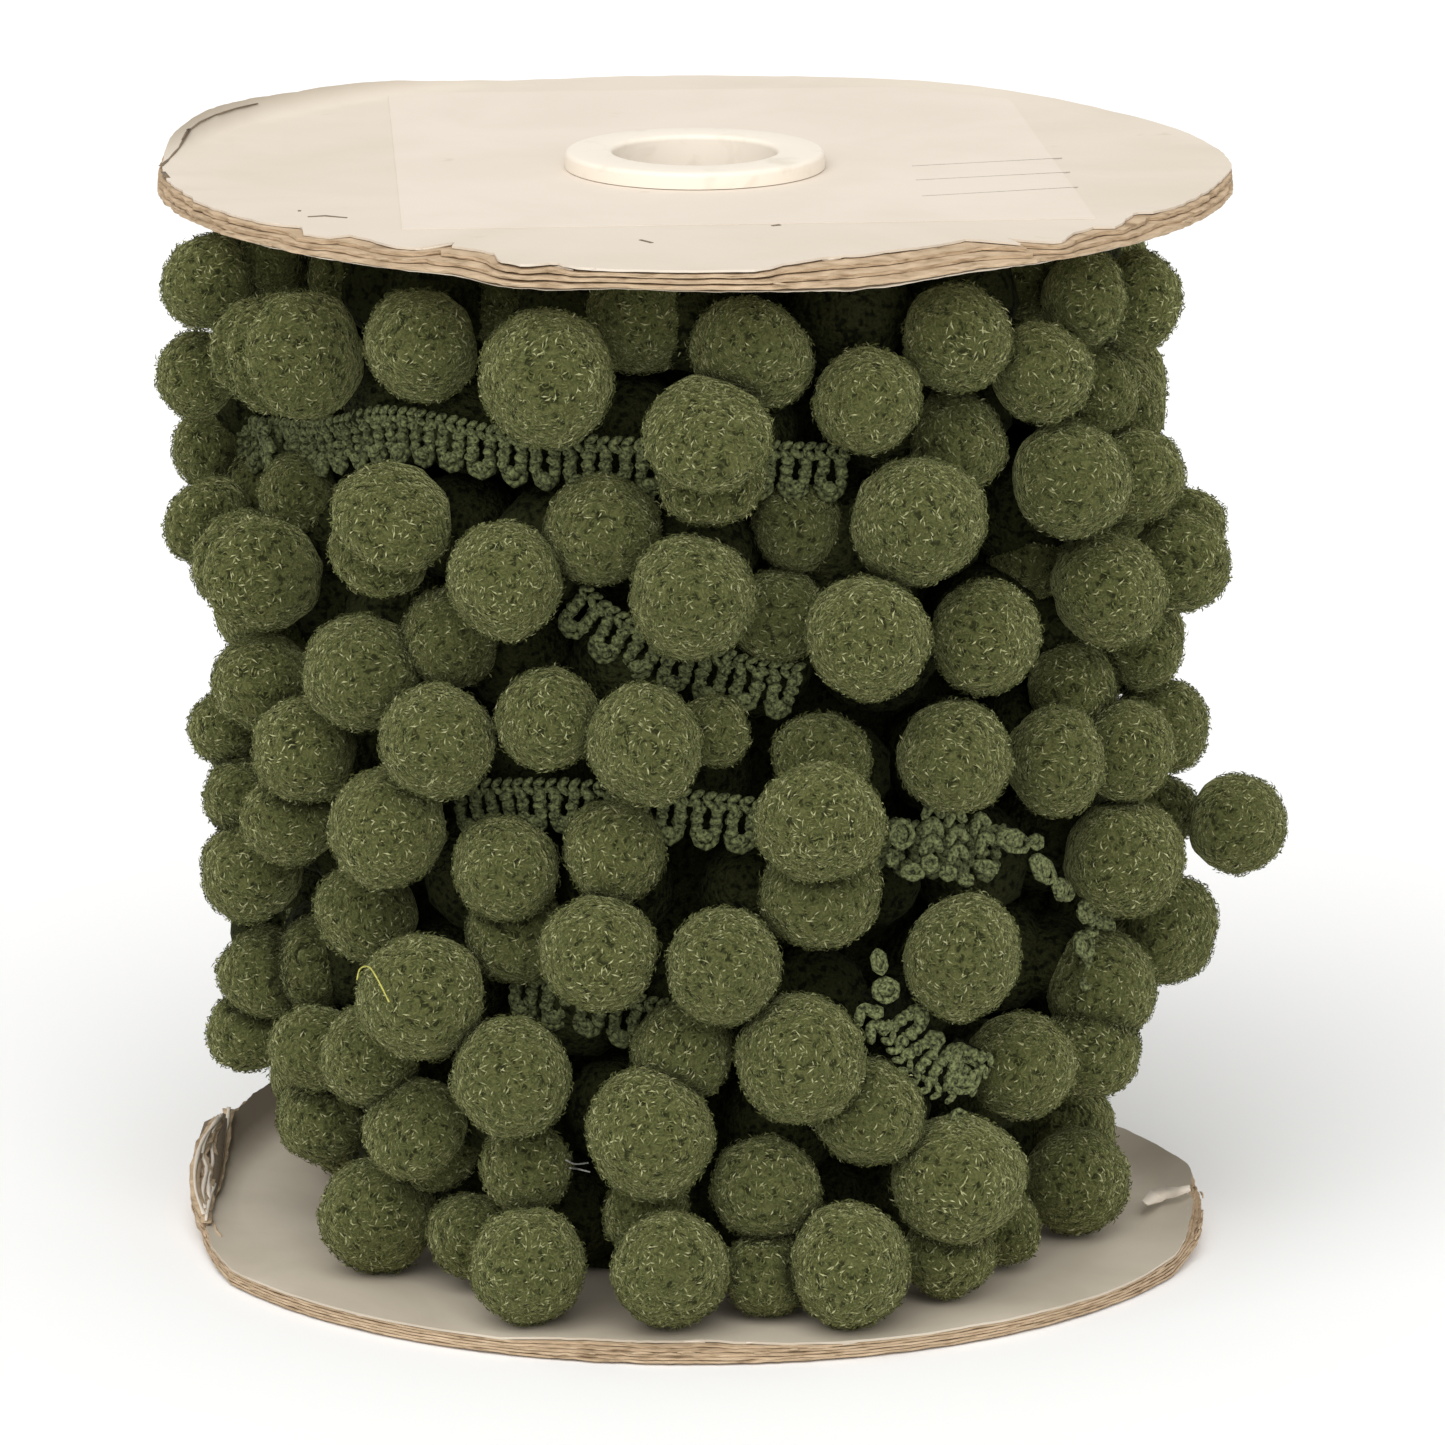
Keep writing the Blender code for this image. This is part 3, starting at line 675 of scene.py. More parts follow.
def cord_finish(name, dark, light):
    """Twisted cord: the strands run round it as its length goes on."""
    made, tree, shader = new_finish(name, light, 0.8, 0.05, 0.2)
    along = arithmetic(tree, "MULTIPLY", attribute(tree, "along"), math.tau / (1.5 * MM))
    around = add(tree, "ShaderNodeSeparateXYZ", {"Vector": attribute(tree, "around", "Vector")})
    strands = arithmetic(
        tree,
        "ADD",
        arithmetic(tree, "MULTIPLY", arithmetic(tree, "SINE", along), result(around, "X")),
        arithmetic(tree, "MULTIPLY", arithmetic(tree, "COSINE", along), result(around, "Y")),
    )
    fuzz = speckle(tree, object_place(tree), 1400, 2)
    height = arithmetic(tree, "ADD", arithmetic(tree, "MULTIPLY", strands, 0.13), fuzz)
    paint(tree, shader, ramp(tree, height, ((0.27, dark), (0.75, light))))
    raise_bumps(tree, shader, height, 0.5 * MM)
    return made


def paper_finish(name, clean, soiled, worn, print_scale):
    """Paper facing: faint mottling and smudges, and darker where it is bent up, by soiling and
    painted shade.
    """
    made, tree, shader = new_finish(name, clean, 0.75)
    place = object_place(tree)
    broad = speckle(tree, place, 28, 4, 0.6)
    fine = speckle(tree, place, print_scale, 5)
    mottled = ramp(tree, broad, ((0.3, soiled), (0.62, clean)))
    # Darker where the facing is bent up: soiling and painted shade.
    mottled = blended(tree, attribute(tree, "worn"), mottled, (*worn, 1))
    specks = ramp(tree, fine, ((0.22, (0.80, 0.77, 0.72)), (0.30, (1, 1, 1))))
    paint(tree, shader, blended(tree, 1.0, mottled, specks, "MULTIPLY"))
    raise_bumps(tree, shader, speckle(tree, place, 320, 4), 0.12 * MM, 0.6)
    return made


def kraft_finish():
    """Brown board with fibres and layers along its torn edge."""
    made, tree, shader = new_finish("torn brown board", (0.42, 0.29, 0.17), 0.95)
    place = object_place(tree)
    squeezed = add(tree, "ShaderNodeMapping", {"Vector": place, "Scale": (1, 1, 6)})
    layers = speckle(tree, result(squeezed), 260, 5, 0.4)
    shade = ramp(tree, layers, (
        (0.25, (0.24, 0.155, 0.085)),
        (0.42, (0.46, 0.335, 0.210)),
        (0.72, (0.64, 0.490, 0.330)),
    ))
    paint(tree, shader, shade)
    raise_bumps(tree, shader, layers, 0.7 * MM)
    return made


def tube_finish():
    """Brown paper wound in a spiral, its seam running round the tube."""
    made, tree, shader = new_finish("wound tube paper", (0.48, 0.37, 0.24), 0.9)
    place = object_place(tree)
    parts = add(tree, "ShaderNodeSeparateXYZ", {"Vector": place})
    bearing = arithmetic(
        tree,
        "ARCTAN2",
        arithmetic(tree, "SUBTRACT", result(parts, "Y"), AXIS.y),
        arithmetic(tree, "SUBTRACT", result(parts, "X"), AXIS.x),
    )
    turns = arithmetic(
        tree,
        "ADD",
        arithmetic(tree, "DIVIDE", result(parts, "Z"), 45 * MM),
        arithmetic(tree, "DIVIDE", bearing, math.tau),
    )
    seam = ramp(tree, arithmetic(tree, "FRACT", turns), (
        (0.0, (0.18, 0.12, 0.07)),
        (0.02, (0.50, 0.38, 0.25)),
        (1.0, (0.44, 0.33, 0.21)),
    ))
    mottled = ramp(tree, speckle(tree, place, 300, 4), ((0.3, (0.75, 0.73, 0.7)), (0.7, (1, 1, 1))))
    paint(tree, shader, blended(tree, 1.0, seam, mottled, "MULTIPLY"))
    raise_bumps(tree, shader, speckle(tree, place, 500, 3), 0.2 * MM, 0.5)
    return made


def collar_finish():
    made, tree, shader = new_finish("off-white collar", (0.76, 0.70, 0.59), 0.5)
    place = object_place(tree)
    grime = speckle(tree, place, 120, 5, 0.8)
    shade = ramp(tree, grime, ((0.25, (0.74, 0.66, 0.55)), (0.45, (0.87, 0.79, 0.68))))
    paint(tree, shader, shade)
    raise_bumps(tree, shader, speckle(tree, place, 700, 2), 0.05 * MM, 0.4)
    return made


def thread_finish(name, colour):
    """A stray fibre or a ruled line."""
    made, tree, shader = new_finish(name, colour, 0.6)
    strands = speckle(tree, object_place(tree), 2500, 1)
    dull = tuple(0.7 * part for part in colour)
    paint(tree, shader, ramp(tree, strands, ((0.3, dull), (0.6, colour))))
    return made


def floor_finish():
    made, tree, shader = new_finish("pale floor", (0.97, 0.97, 0.97), 0.9)
    faint = speckle(tree, object_place(tree), 3, 2)
    shade = ramp(tree, faint, ((0.2, (0.96, 0.96, 0.96)), (0.8, (0.98, 0.98, 0.98))))
    paint(tree, shader, shade)
    return made


def new_tree(name, **sockets):
    """A node tree that changes geometry, with inputs of these names and kinds."""
    tree = bpy.data.node_groups.new(name, "GeometryNodeTree")
    for label, kind in {"Geometry": "Geometry", **sockets}.items():
        tree.interface.new_socket(label, in_out="INPUT", socket_type=f"NodeSocket{kind}")
    tree.interface.new_socket("Geometry", in_out="OUTPUT", socket_type="NodeSocketGeometry")
    return tree, add(tree, "NodeGroupInput").outputs


def named(tree, name, kind):
    made = add(tree, "GeometryNodeInputNamedAttribute", {"Name": name}, data_type=kind)
    return result(made, "Attribute")


def stored(tree, geometry, name, kind, domain, value):
    feeds = {"Geometry": geometry, "Name": name, "Value": value}
    made = add(tree, "GeometryNodeStoreNamedAttribute", feeds, data_type=kind, domain=domain)
    return result(made)


def smoothed(tree, geometry):
    feeds = {"Geometry": geometry, "Shade Smooth": True}
    return result(add(tree, "GeometryNodeSetShadeSmooth", feeds))


def copies(tree, points, shape, rotation, size):
    """The shape on each of the points."""
    feeds = {"Points": points, "Instance": shape, "Rotation": rotation, "Scale": size}
    return result(add(tree, "GeometryNodeInstanceOnPoints", feeds))


def turn_of_point(tree):
    turn = named(tree, "turn", "FLOAT_VECTOR")
    return result(add(tree, "FunctionNodeEulerToRotation", {"Euler": turn}))


def finish_tree(tree, geometry, finish):
    """Instances made real, and the finish on all of it."""
    real = add(tree, "GeometryNodeRealizeInstances", {"Geometry": geometry})
    painted = add(
        tree, "GeometryNodeSetMaterial", {"Geometry": result(real), "Material": finish}
    )
    add(tree, "NodeGroupOutput", {"Geometry": result(painted)})
    return tree


def pompom_tree():
    """Wool balls on points: each has its own turn and size, and lumps all over."""
    tree, given = new_tree(
        "pompoms on points",
        Subdivisions="Int", Lump="Float", Frequency="Float", Crumb="Float", Fineness="Float",
        Finish="Material",
    )
    ball = add(
        tree, "GeometryNodeMeshIcoSphere", {"Radius": 1.0, "Subdivisions": given["Subdivisions"]}
    )
    size = named(tree, "size", "FLOAT_VECTOR")
    balls = copies(tree, given["Geometry"], result(ball, "Mesh"), turn_of_point(tree), size)
    real = add(tree, "GeometryNodeRealizeInstances", {"Geometry": balls})
    where = result(add(tree, "GeometryNodeInputPosition"))
    heights = []
    for size, fineness in (("Lump", "Frequency"), ("Crumb", "Fineness")):
        rough = add(tree, "ShaderNodeTexNoise", {
            "Vector": where, "Scale": given[fineness], "Detail": 2.0,
        })
        centred = arithmetic(tree, "SUBTRACT", result(rough), 0.5)
        heights.append(arithmetic(tree, "MULTIPLY", centred, given[size]))
    height = arithmetic(tree, "ADD", *heights)
    offset = add(tree, "ShaderNodeVectorMath", {
        0: result(add(tree, "GeometryNodeInputNormal"), "Normal"), "Scale": height,
    }, operation="SCALE")
    moved = add(
        tree, "GeometryNodeSetPosition", {"Geometry": result(real), "Offset": result(offset)}
    )
    return finish_tree(tree, smoothed(tree, result(moved)), given["Finish"])


def pile_tree():
    """Short curled fibres strewn over a surface, lying every way, with small pits between."""
    tree, given = new_tree(
        "wool pile",
        Density="Float", Length="Float", Width="Float", Lowest="Vector", Highest="Vector",
        Pits="Float", Fibre="Object", Seed="Int", Finish="Material",
    )
    where = result(add(tree, "GeometryNodeInputPosition"))
    pits = add(tree, "ShaderNodeTexNoise", {"Vector": where, "Scale": given["Pits"], "Detail": 1.0})
    clump = add(tree, "ShaderNodeMapRange", {
        "Value": result(pits), "From Min": 0.34, "From Max": 0.47, "To Min": 0.05, "To Max": 1.0,
    })
    standing = arithmetic(tree, "MULTIPLY", named(tree, "open", "FLOAT"), result(clump))
    density = arithmetic(tree, "MULTIPLY", standing, given["Density"])
    strewn = add(tree, "GeometryNodeDistributePointsOnFaces", {
        "Mesh": given["Geometry"], "Density": density, "Seed": given["Seed"],
    })
    fibre = add(tree, "GeometryNodeObjectInfo", {"Object": given["Fibre"], "As Instance": True})
    lean = add(tree, "FunctionNodeRandomValue", {
        "Min": given["Lowest"], "Max": given["Highest"], "Seed": given["Seed"],
    }, data_type="FLOAT_VECTOR")
    turn = add(tree, "FunctionNodeEulerToRotation", {"Euler": result(lean)})
    rotation = add(tree, "FunctionNodeRotateRotation", {
        "Rotation": result(strewn, "Rotation"), "Rotate By": result(turn),
    }, rotation_space="LOCAL")
    varied = add(tree, "FunctionNodeRandomValue", {"Min": 0.55, "Max": 1.25, "Seed": 5})
    length = arithmetic(tree, "MULTIPLY", result(varied), given["Length"])
    size = add(tree, "ShaderNodeCombineXYZ", {"X": length, "Y": given["Width"], "Z": length})
    fibres = copies(
        tree, result(strewn, "Points"), result(fibre, "Geometry"), result(rotation), result(size)
    )
    tone = add(tree, "FunctionNodeRandomValue", {"Min": 0.0, "Max": 1.0, "Seed": 7})
    toned = stored(tree, fibres, "tone", "FLOAT", "INSTANCE", result(tone))
    return finish_tree(tree, toned, given["Finish"])


def cord_tree():
    """Round cord along lines of points; it knows how far along and around each point is."""
    tree, given = new_tree("cord along lines", Radius="Float", Sides="Int", Finish="Material")
    lines = add(tree, "GeometryNodeMeshToCurve", {"Mesh": given["Geometry"]})
    length = result(add(tree, "GeometryNodeSplineParameter"), "Length")
    measured = stored(tree, result(lines), "along", "FLOAT", "POINT", length)
    circle = add(
        tree, "GeometryNodeCurvePrimitiveCircle", {"Resolution": given["Sides"], "Radius": 1.0}
    )
    where = result(add(tree, "GeometryNodeInputPosition"))
    marked = stored(tree, result(circle), "around", "FLOAT_VECTOR", "POINT", where)
    sized = add(tree, "GeometryNodeTransform", {
        "Geometry": marked,
        "Scale": result(add(tree, "ShaderNodeCombineXYZ", {
            "X": given["Radius"], "Y": given["Radius"], "Z": 1.0,
        })),
    })
    tube = add(tree, "GeometryNodeCurveToMesh", {
        "Curve": measured, "Profile Curve": result(sized),
        "Scale": named(tree, "thick", "FLOAT"), "Fill Caps": True,
    })
    return finish_tree(tree, smoothed(tree, result(tube)), given["Finish"])


def copies_tree():
    """A small shape on points, each with its own turn and size."""
    tree, given = new_tree("shapes on points", Shape="Object", Finish="Material")
    shape = add(tree, "GeometryNodeObjectInfo", {"Object": given["Shape"], "As Instance": True})
    size = named(tree, "size", "FLOAT_VECTOR")
    shapes = copies(
        tree, given["Geometry"], result(shape, "Geometry"), turn_of_point(tree), size
    )
    return finish_tree(tree, shapes, given["Finish"])


def link_piece(name, mesh, *nodes, slot):
    """A piece of the object that rides with the reel and stands for these nodes."""
    made = bpy.data.objects.new(name, mesh)
    bpy.context.scene.collection.objects.link(made)
    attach(made, ROOT)
    if nodes:
        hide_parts(*nodes)
    return made


def grown(name, source, tree, **values):
    """The plain mesh that the tree makes from the source mesh."""
    holder = bpy.data.objects.new(name, source)
    bpy.context.scene.collection.objects.link(holder)
    step = holder.modifiers.new("tree", "NODES")
    step.node_group = tree
    for item in tree.interface.items_tree:
        if item.name in values and item.in_out == "INPUT":
            step[item.identifier] = values[item.name]
    graph = bpy.context.evaluated_depsgraph_get()
    mesh = bpy.data.meshes.new_from_object(holder.evaluated_get(graph))
    mesh.name = name
    bpy.data.objects.remove(holder)
    return mesh


def mesh_from(name, bm, finish=None, smooth=True):
    bmesh.ops.recalc_face_normals(bm, faces=bm.faces)
    mesh = bpy.data.meshes.new(name)
    bm.to_mesh(mesh)
    bm.free()
    if finish:
        mesh.materials.append(finish)
    if smooth:
        mesh.shade_smooth()
    return mesh


def set_attribute(mesh, name, kind, values):
    made = mesh.attributes.new(name, kind, "POINT")
    field = "value" if kind == "FLOAT" else "vector"
    made.data.foreach_set(field, np.asarray(values, np.float32).ravel())


def point_cloud(name, points, turns, sizes, dyes=None):
    """Loose points that each carry a turn, a size and a dye."""
    mesh = bpy.data.meshes.new(name)
    mesh.from_pydata([tuple(point) for point in points], [], [])
    set_attribute(mesh, "turn", "FLOAT_VECTOR", [tuple(turn) for turn in turns])
    set_attribute(mesh, "size", "FLOAT_VECTOR", [tuple(size) for size in sizes])
    if dyes:
        set_attribute(mesh, "dye", "FLOAT", dyes)
    return mesh


def line_cloud(name, lines, closed=False):
    """Runs of points joined by edges."""
    points = []
    edges = []
    for line in lines:
        first = len(points)
        points.extend(tuple(point) for point in line)
        edges.extend((i, i + 1) for i in range(first, len(points) - 1))
        if closed:
            edges.append((len(points) - 1, first))
    mesh = bpy.data.meshes.new(name)
    mesh.from_pydata(points, edges, [])
    set_attribute(mesh, "thick", "FLOAT", [CORD_THICK[i % 2] for i in range(len(points))])
    return mesh


def at_bearing(bearing, out, height):
    """A point this far from the reel's axis; bearing 0 is the front and 90 degrees the right."""
    return AXIS + Vector((out * math.sin(bearing), -out * math.cos(bearing), height))


def bearing_of(point):
    away = point - AXIS
    return math.atan2(away.x, -away.y)


def away_from_axis(point):
    away = point - AXIS
    away.z = 0
    return away.normalized()


def sight_line(across, down):
    """The eye, and the direction in which it sees a pixel of the photograph."""
    eye = AXIS + Vector((0, -EYE_DISTANCE, EYE_HEIGHT))
    forward = Vector((0, math.cos(EYE_TILT), -math.sin(EYE_TILT)))
    upward = Vector((0, math.sin(EYE_TILT), math.cos(EYE_TILT)))
    right = Vector((1, 0, 0))
    x = (across - PRINCIPAL[0]) / FOCAL
    y = (PRINCIPAL[1] - down) / FOCAL
    return eye, forward + x * right + y * upward


def seen_at(across, down, out):
    """Where the pixel's sight line meets the upright cylinder of radius out, on its near side,
    or comes nearest to the reel's axis if it misses the cylinder."""
    eye, along = sight_line(across, down)
    start = eye - AXIS
    a = along.x**2 + along.y**2
    b = start.x * along.x + start.y * along.y
    c = start.x**2 + start.y**2 - out**2
    return eye + along * ((-b - math.sqrt(max(0, b * b - a * c))) / a)


def seen_on_level(across, down, height):
    """Where the pixel's sight line meets the level plane at this height."""
    eye, along = sight_line(across, down)
    return eye + along * ((height - eye.z) / along.z)


def seat_ball(ball):
    """The pompom's centre and radius. One that would reach into a flange is moved along its
    sight line until it only touches it."""
    centre = seen_at(ball.across, ball.down, ball.out * MM)
    eye, along = sight_line(ball.across, ball.down)
    radius = ball.wide / 2 / FOCAL * (centre - eye).length
    lowest = BOARD + CLEARANCE + radius
    highest = REEL_HEIGHT - BOARD - CLEARANCE - radius
    height = min(max(centre.z, lowest), highest)
    return centre + along * ((height - centre.z) / along.z), radius


def back_balls():
    """The pompoms of the reel's back: level courses, each a little uneven."""
    rng = random.Random(SEED)
    balls = []
    for course in range(BACK_COURSES):
        share = course / (BACK_COURSES - 1)
        height = BACK_LOWEST + (BACK_HIGHEST - BACK_LOWEST) * share
        for i in range(BACK_BALLS):
            stray = rng.uniform(-BACK_STRAY, BACK_STRAY)
            step = (i + 0.5 * (course % 2) + stray) / (BACK_BALLS - 0.5)
            bearing = BACK_FIRST + (BACK_LAST - BACK_FIRST) * step
            radius = BACK_BALL_R * rng.uniform(*BACK_SIZE)
            out = BACK_OUT + rng.uniform(-BACK_SINK, BACK_SINK)
            foot = BACK_FOOT[course] if course < len(BACK_FOOT) else 0
            out -= (BACK_DRAWN + foot) * math.sin(bearing) ** BACK_DRAWN_POWER
            up = height + rng.uniform(-BACK_RISE, BACK_RISE)
            up = min(max(up, BOARD + CLEARANCE + radius), REEL_HEIGHT - BOARD - CLEARANCE - radius)
            balls.append((at_bearing(bearing, out, up), radius))
    return balls


def inner_balls():
    """Pompoms of the turns below, with a few more at the sides."""
    rng = random.Random(INNER_SEED)
    balls = []
    low = BOARD + INNER_BALL_R
    high = REEL_HEIGHT - BOARD - INNER_BALL_R
    for course in range(INNER_COURSES):
        height = low + (high - low) * course / (INNER_COURSES - 1)
        for i in range(INNER_BALLS):
            bearing = math.tau * (i + 0.5 * (course % 2) + rng.uniform(-0.2, 0.2)) / INNER_BALLS
            out = INNER_OUT + rng.uniform(-INNER_STRAY, INNER_STRAY)
            if course == 0:
                out -= INNER_FOOT
            balls.append((at_bearing(bearing, out, height), INNER_BALL_R * rng.uniform(0.85, 1)))
        for side in (-1, 1):
            for i in range(SIDE_BALLS):
                bearing = side * math.radians(SIDE_FIRST + SIDE_STEP * i + rng.uniform(-3, 3))
                up = height + rng.uniform(-SIDE_STRAY, SIDE_STRAY)
                up = min(max(up, SIDE_LOWEST), high)
                balls.append((at_bearing(bearing, SIDE_OUT, up), SIDE_BALL_R))
    return balls + [seat_ball(ball) for ball in DEEP_BALLS]


def pressed(balls):
    """The pompoms, each flattened where another lies close before or behind it."""
    made = []
    for centre, radius in balls:
        press, share = Vector((1, 0, 0)), 1
        for other, wide in balls:
            apart = other - centre
            near = SAME_PLACE < apart.length < radius + wide
            if near and abs(apart.y) > FRONT_TO_BACK * apart.length:
                left = max(apart.length / (radius + wide), MOST_PRESSED)
                if left < share:
                    press, share = apart.normalized(), left
        made.append(Pompom(centre, radius, press, share))
    return made


def smooth_path(points, count):
    """Points spread along a curve through the given ones (Catmull-Rom)."""
    ends = [points[0] * 2 - points[1], *points, points[-1] * 2 - points[-2]]
    path = []
    for i in range(count):
        at = i / (count - 1) * (len(points) - 1)
        k = min(int(at), len(points) - 2)
        t = at - k
        p0, p1, p2, p3 = ends[k : k + 4]
        path.append(
            (p1 * 2 + (p2 - p0) * t + (p0 * 2 - p1 * 5 + p2 * 4 - p3) * t * t
             + (p1 * 3 - p0 - p2 * 3 + p3) * t * t * t) / 2
        )
    return path


def stretch_path(stretch):
    middle = [seen_at(across, down, stretch.out * MM) for across, down in stretch.middle]
    return smooth_path(middle, BRAID_POINTS)


def back_braid(course):
    """A course of braid round the back, midway between two courses of pompoms."""
    share = (course - 0.5) / (BACK_COURSES - 1)
    height = BACK_LOWEST + (BACK_HIGHEST - BACK_LOWEST) * share
    bearings = [
        BACK_FIRST + (BACK_LAST - BACK_FIRST) * i / (BRAID_POINTS - 1) for i in range(BRAID_POINTS)
    ]
    return [at_bearing(bearing, BACK_BRAID_OUT, height) for bearing in bearings]


class Route:
    """A path measured along its length, with the braid's own directions at each place."""

    def __init__(self, points):
        self.points = smooth_path(points, PATH_SAMPLES)
        steps = [(b - a).length for a, b in zip(self.points, self.points[1:])]
        self.measure = [sum(steps[:i]) for i in range(len(self.points))]
        self.length = self.measure[-1]

    def directions(self, at):
        """The point there, the way along, the way out from the reel, and the way up."""
        share = min(max(at / self.length, 0), 1) * self.length
        k = min(int(np.searchsorted(self.measure, share, "right")) - 1, len(self.points) - 2)
        here, there = self.points[k], self.points[k + 1]
        along = (there - here).normalized()
        point = here + along * (at - self.measure[k])
        out = away_from_axis(point)
        out = (out - along * out.dot(along)).normalized()
        return point, along, out, out.cross(along)

    def place(self, at, up, out):
        point, _, outward, upward = self.directions(at)
        return point + upward * up + outward * out


def loop_cord(route, side):
    """One of the braid's two cords: twisted with the other down a bar, round the lobe beside
    it, twisted up the next bar and on."""
    line = []
    fall = LOBE_START - BAR_TOP
    for i in range(int(route.length / REPEAT)):
        middle = (i + 0.5) * REPEAT
        bars = []
        for bar in (-1, 1):
            bars.append([])
            for step in range(BAR_STEPS):
                share = step / BAR_STEPS
                turn = math.pi * KNOTS * share
                across = bar * BAR_GAP - bar * side * CORD_GAP * math.cos(turn)
                out = BAR_OUT + side * CORD_GAP * CORD_FLAT * math.sin(turn)
                bars[-1].append(route.place(middle + across, BAR_TOP + fall * share, out))
        line += bars[0]
        half = BAR_GAP + side * CORD_GAP
        for step in range(LOBE_STEPS + 1):
            turn = math.pi * step / LOBE_STEPS
            across = -half * math.cos(turn)
            down = LOBE_START - half * math.sin(turn)
            line.append(route.place(middle + across, down, LOBE_OUT * math.sin(turn)))
        line += reversed(bars[1])
    return [point + noise.noise_vector(point * STRAYS_PER_METRE) * BRAID_STRAY for point in line]


def loop_cords(routes):
    return [loop_cord(route, side) for route in routes for side in (-1, 1)]


def turned_like(along, out, up, slant):
    """The turn of a stitch that lies along the braid, slanted in its plane."""
    basis = Matrix((along, -out, up)).transposed()
    return (basis @ Matrix.Rotation(slant, 3, "Y")).to_euler()


def plait_stitches(routes):
    """Two rows of stitches that make Vs along the braid's upper edge, the knots down its
    bars, and the yarn that fills its lobes."""
    points, turns, sizes = [], [], []
    rng = random.Random(PLAIT_SEED)
    for route in routes:
        for i in range(int(route.length / REPEAT) * STITCHES):
            for row, slant in zip(STITCH_ROWS, (-STITCH_SLANT, STITCH_SLANT)):
                at = (i + 0.5) * REPEAT / STITCHES
                point, along, out, up = route.directions(at)
                points.append(point + up * row + out * rng.uniform(*STITCH_OUT) * MM)
                stray = rng.uniform(-STITCH_TURN, STITCH_TURN)
                turns.append(turned_like(along, out, up, slant + stray))
                sizes.append(STITCH / 2 * rng.uniform(*STITCH_SIZE))
        for i in range(int(route.length / REPEAT)):
            marks = [
                (bar * BAR_GAP, BAR_TOP + (LOBE_START - BAR_TOP) * (k + 0.5) / KNOTS, KNOT)
                for bar in (-1, 1) for k in range(KNOTS)
            ]
            marks.append((0, LOBE_START - LOBE_FILL_DOWN, LOBE_FILL))
            for across, rise, size in marks:
                at = (i + 0.5) * REPEAT + across + rng.uniform(-KNOT_ALONG, KNOT_ALONG) * MM
                point, along, out, up = route.directions(at)
                rise += rng.uniform(-KNOT_UP, KNOT_UP) * MM
                points.append(point + up * rise + out * rng.uniform(*KNOT_OUT) * MM)
                turns.append(turned_like(along, out, up, rng.uniform(-KNOT_TURN, KNOT_TURN)))
                sizes.append(size * rng.uniform(*KNOT_SIZE))
    return points, turns, sizes


def link_stitches():
    """The leaf-shaped links of the twisted stretches, two abreast."""
    points, turns, sizes = [], [], []
    for run in LINKS:
        route = Route([seen_at(across, down, run.out * MM) for across, down in run.middle])
        count = max(2, round(route.length / LINK_STEP))
        for i in range(count):
            point, along, out, up = route.directions((i + 0.5) * route.length / count)
            for side in (1, -1):
                points.append(point + up * side * LINK_APART + out * LINK_OUT)
                turns.append(turned_like(along, out, up, -side * LINK_SLANT))
                sizes.append(LINK)
    return points, turns, sizes


def ring_place(ring, turn, share):
    """A place on the ring's cord, or nearer to its middle by the share."""
    tilt = math.radians(ring.tilt)
    x = (ring.wide / 2 - RING_CORD_PIXELS) * share * math.cos(turn)
    y = (ring.high / 2 - RING_CORD_PIXELS) * share * math.sin(turn)
    across = ring.across + x * math.cos(tilt) - y * math.sin(tilt)
    down = ring.down + x * math.sin(tilt) + y * math.cos(tilt)
    return seen_at(across, down, (ring.out + RING_SWAY * math.sin(turn)) * MM)


def ring_lines():
    """Rings of cord that stand out of the twisted stretches."""
    return [
        [ring_place(ring, math.tau * i / RING_POINTS, 1) for i in range(RING_POINTS)]
        for ring in RINGS
    ]


def ring_fills():
    """The yarn that fills each ring, as a leaf along its longer way."""
    points, turns, sizes = [], [], []
    for ring in RINGS:
        start, end = (0, math.pi) if ring.wide >= ring.high else (math.pi / 2, 1.5 * math.pi)
        long_way = ring_place(ring, start, 1) - ring_place(ring, end, 1)
        broad = ring_place(ring, start + math.pi / 2, 1) - ring_place(ring, end + math.pi / 2, 1)
        middle = (ring_place(ring, start, 1) + ring_place(ring, end, 1)) / 2
        out = away_from_axis(middle)
        along = long_way.normalized()
        out = (out - along * out.dot(along)).normalized()
        points.append(middle - out * RING_FILL_SUNK)
        turns.append(turned_like(along, out, out.cross(along), 0))
        size = Vector((long_way.length / 2, RING_FILL_THICK, broad.length / 2))
        sizes.append(size * RING_FILL_SHARE)
    return points, turns, sizes


def on_ball(across, down, ball):
    """Where the pixel's sight line meets the pompom's pile, or comes nearest to it."""
    centre, radius = seat_ball(ball)
    eye, along = sight_line(across, down)
    start = eye - centre
    a = along.dot(along)
    b = start.dot(along)
    c = start.dot(start) - (radius + PILE_STANDS) ** 2
    return eye + along * ((-b - math.sqrt(max(0, b * b - a * c))) / a)


def stitch_shape():
    """A small rounded leaf, a metre from its middle to each end before it is sized."""
    bm = bmesh.new()
    turns = [math.tau * i / STITCH_SIDES for i in range(STITCH_SIDES)]
    rings = []
    for k in range(1, STITCH_RINGS):
        along, wide = math.cos(math.pi * k / STITCH_RINGS), math.sin(math.pi * k / STITCH_RINGS)
        rings.append([
            bm.verts.new((along, wide * math.sin(turn), wide * math.cos(turn))) for turn in turns
        ])
    ends = [bm.verts.new((side, 0, 0)) for side in (1, -1)]
    for i in range(STITCH_SIDES):
        j = (i + 1) % STITCH_SIDES
        for here, there in zip(rings, rings[1:]):
            bm.faces.new((here[i], here[j], there[j], there[i]))
        for end, ring in zip(ends, (rings[0], rings[-1])):
            bm.faces.new((end, ring[i], ring[j]))
    return bpy.data.objects.new("stitch", mesh_from("stitch", bm))


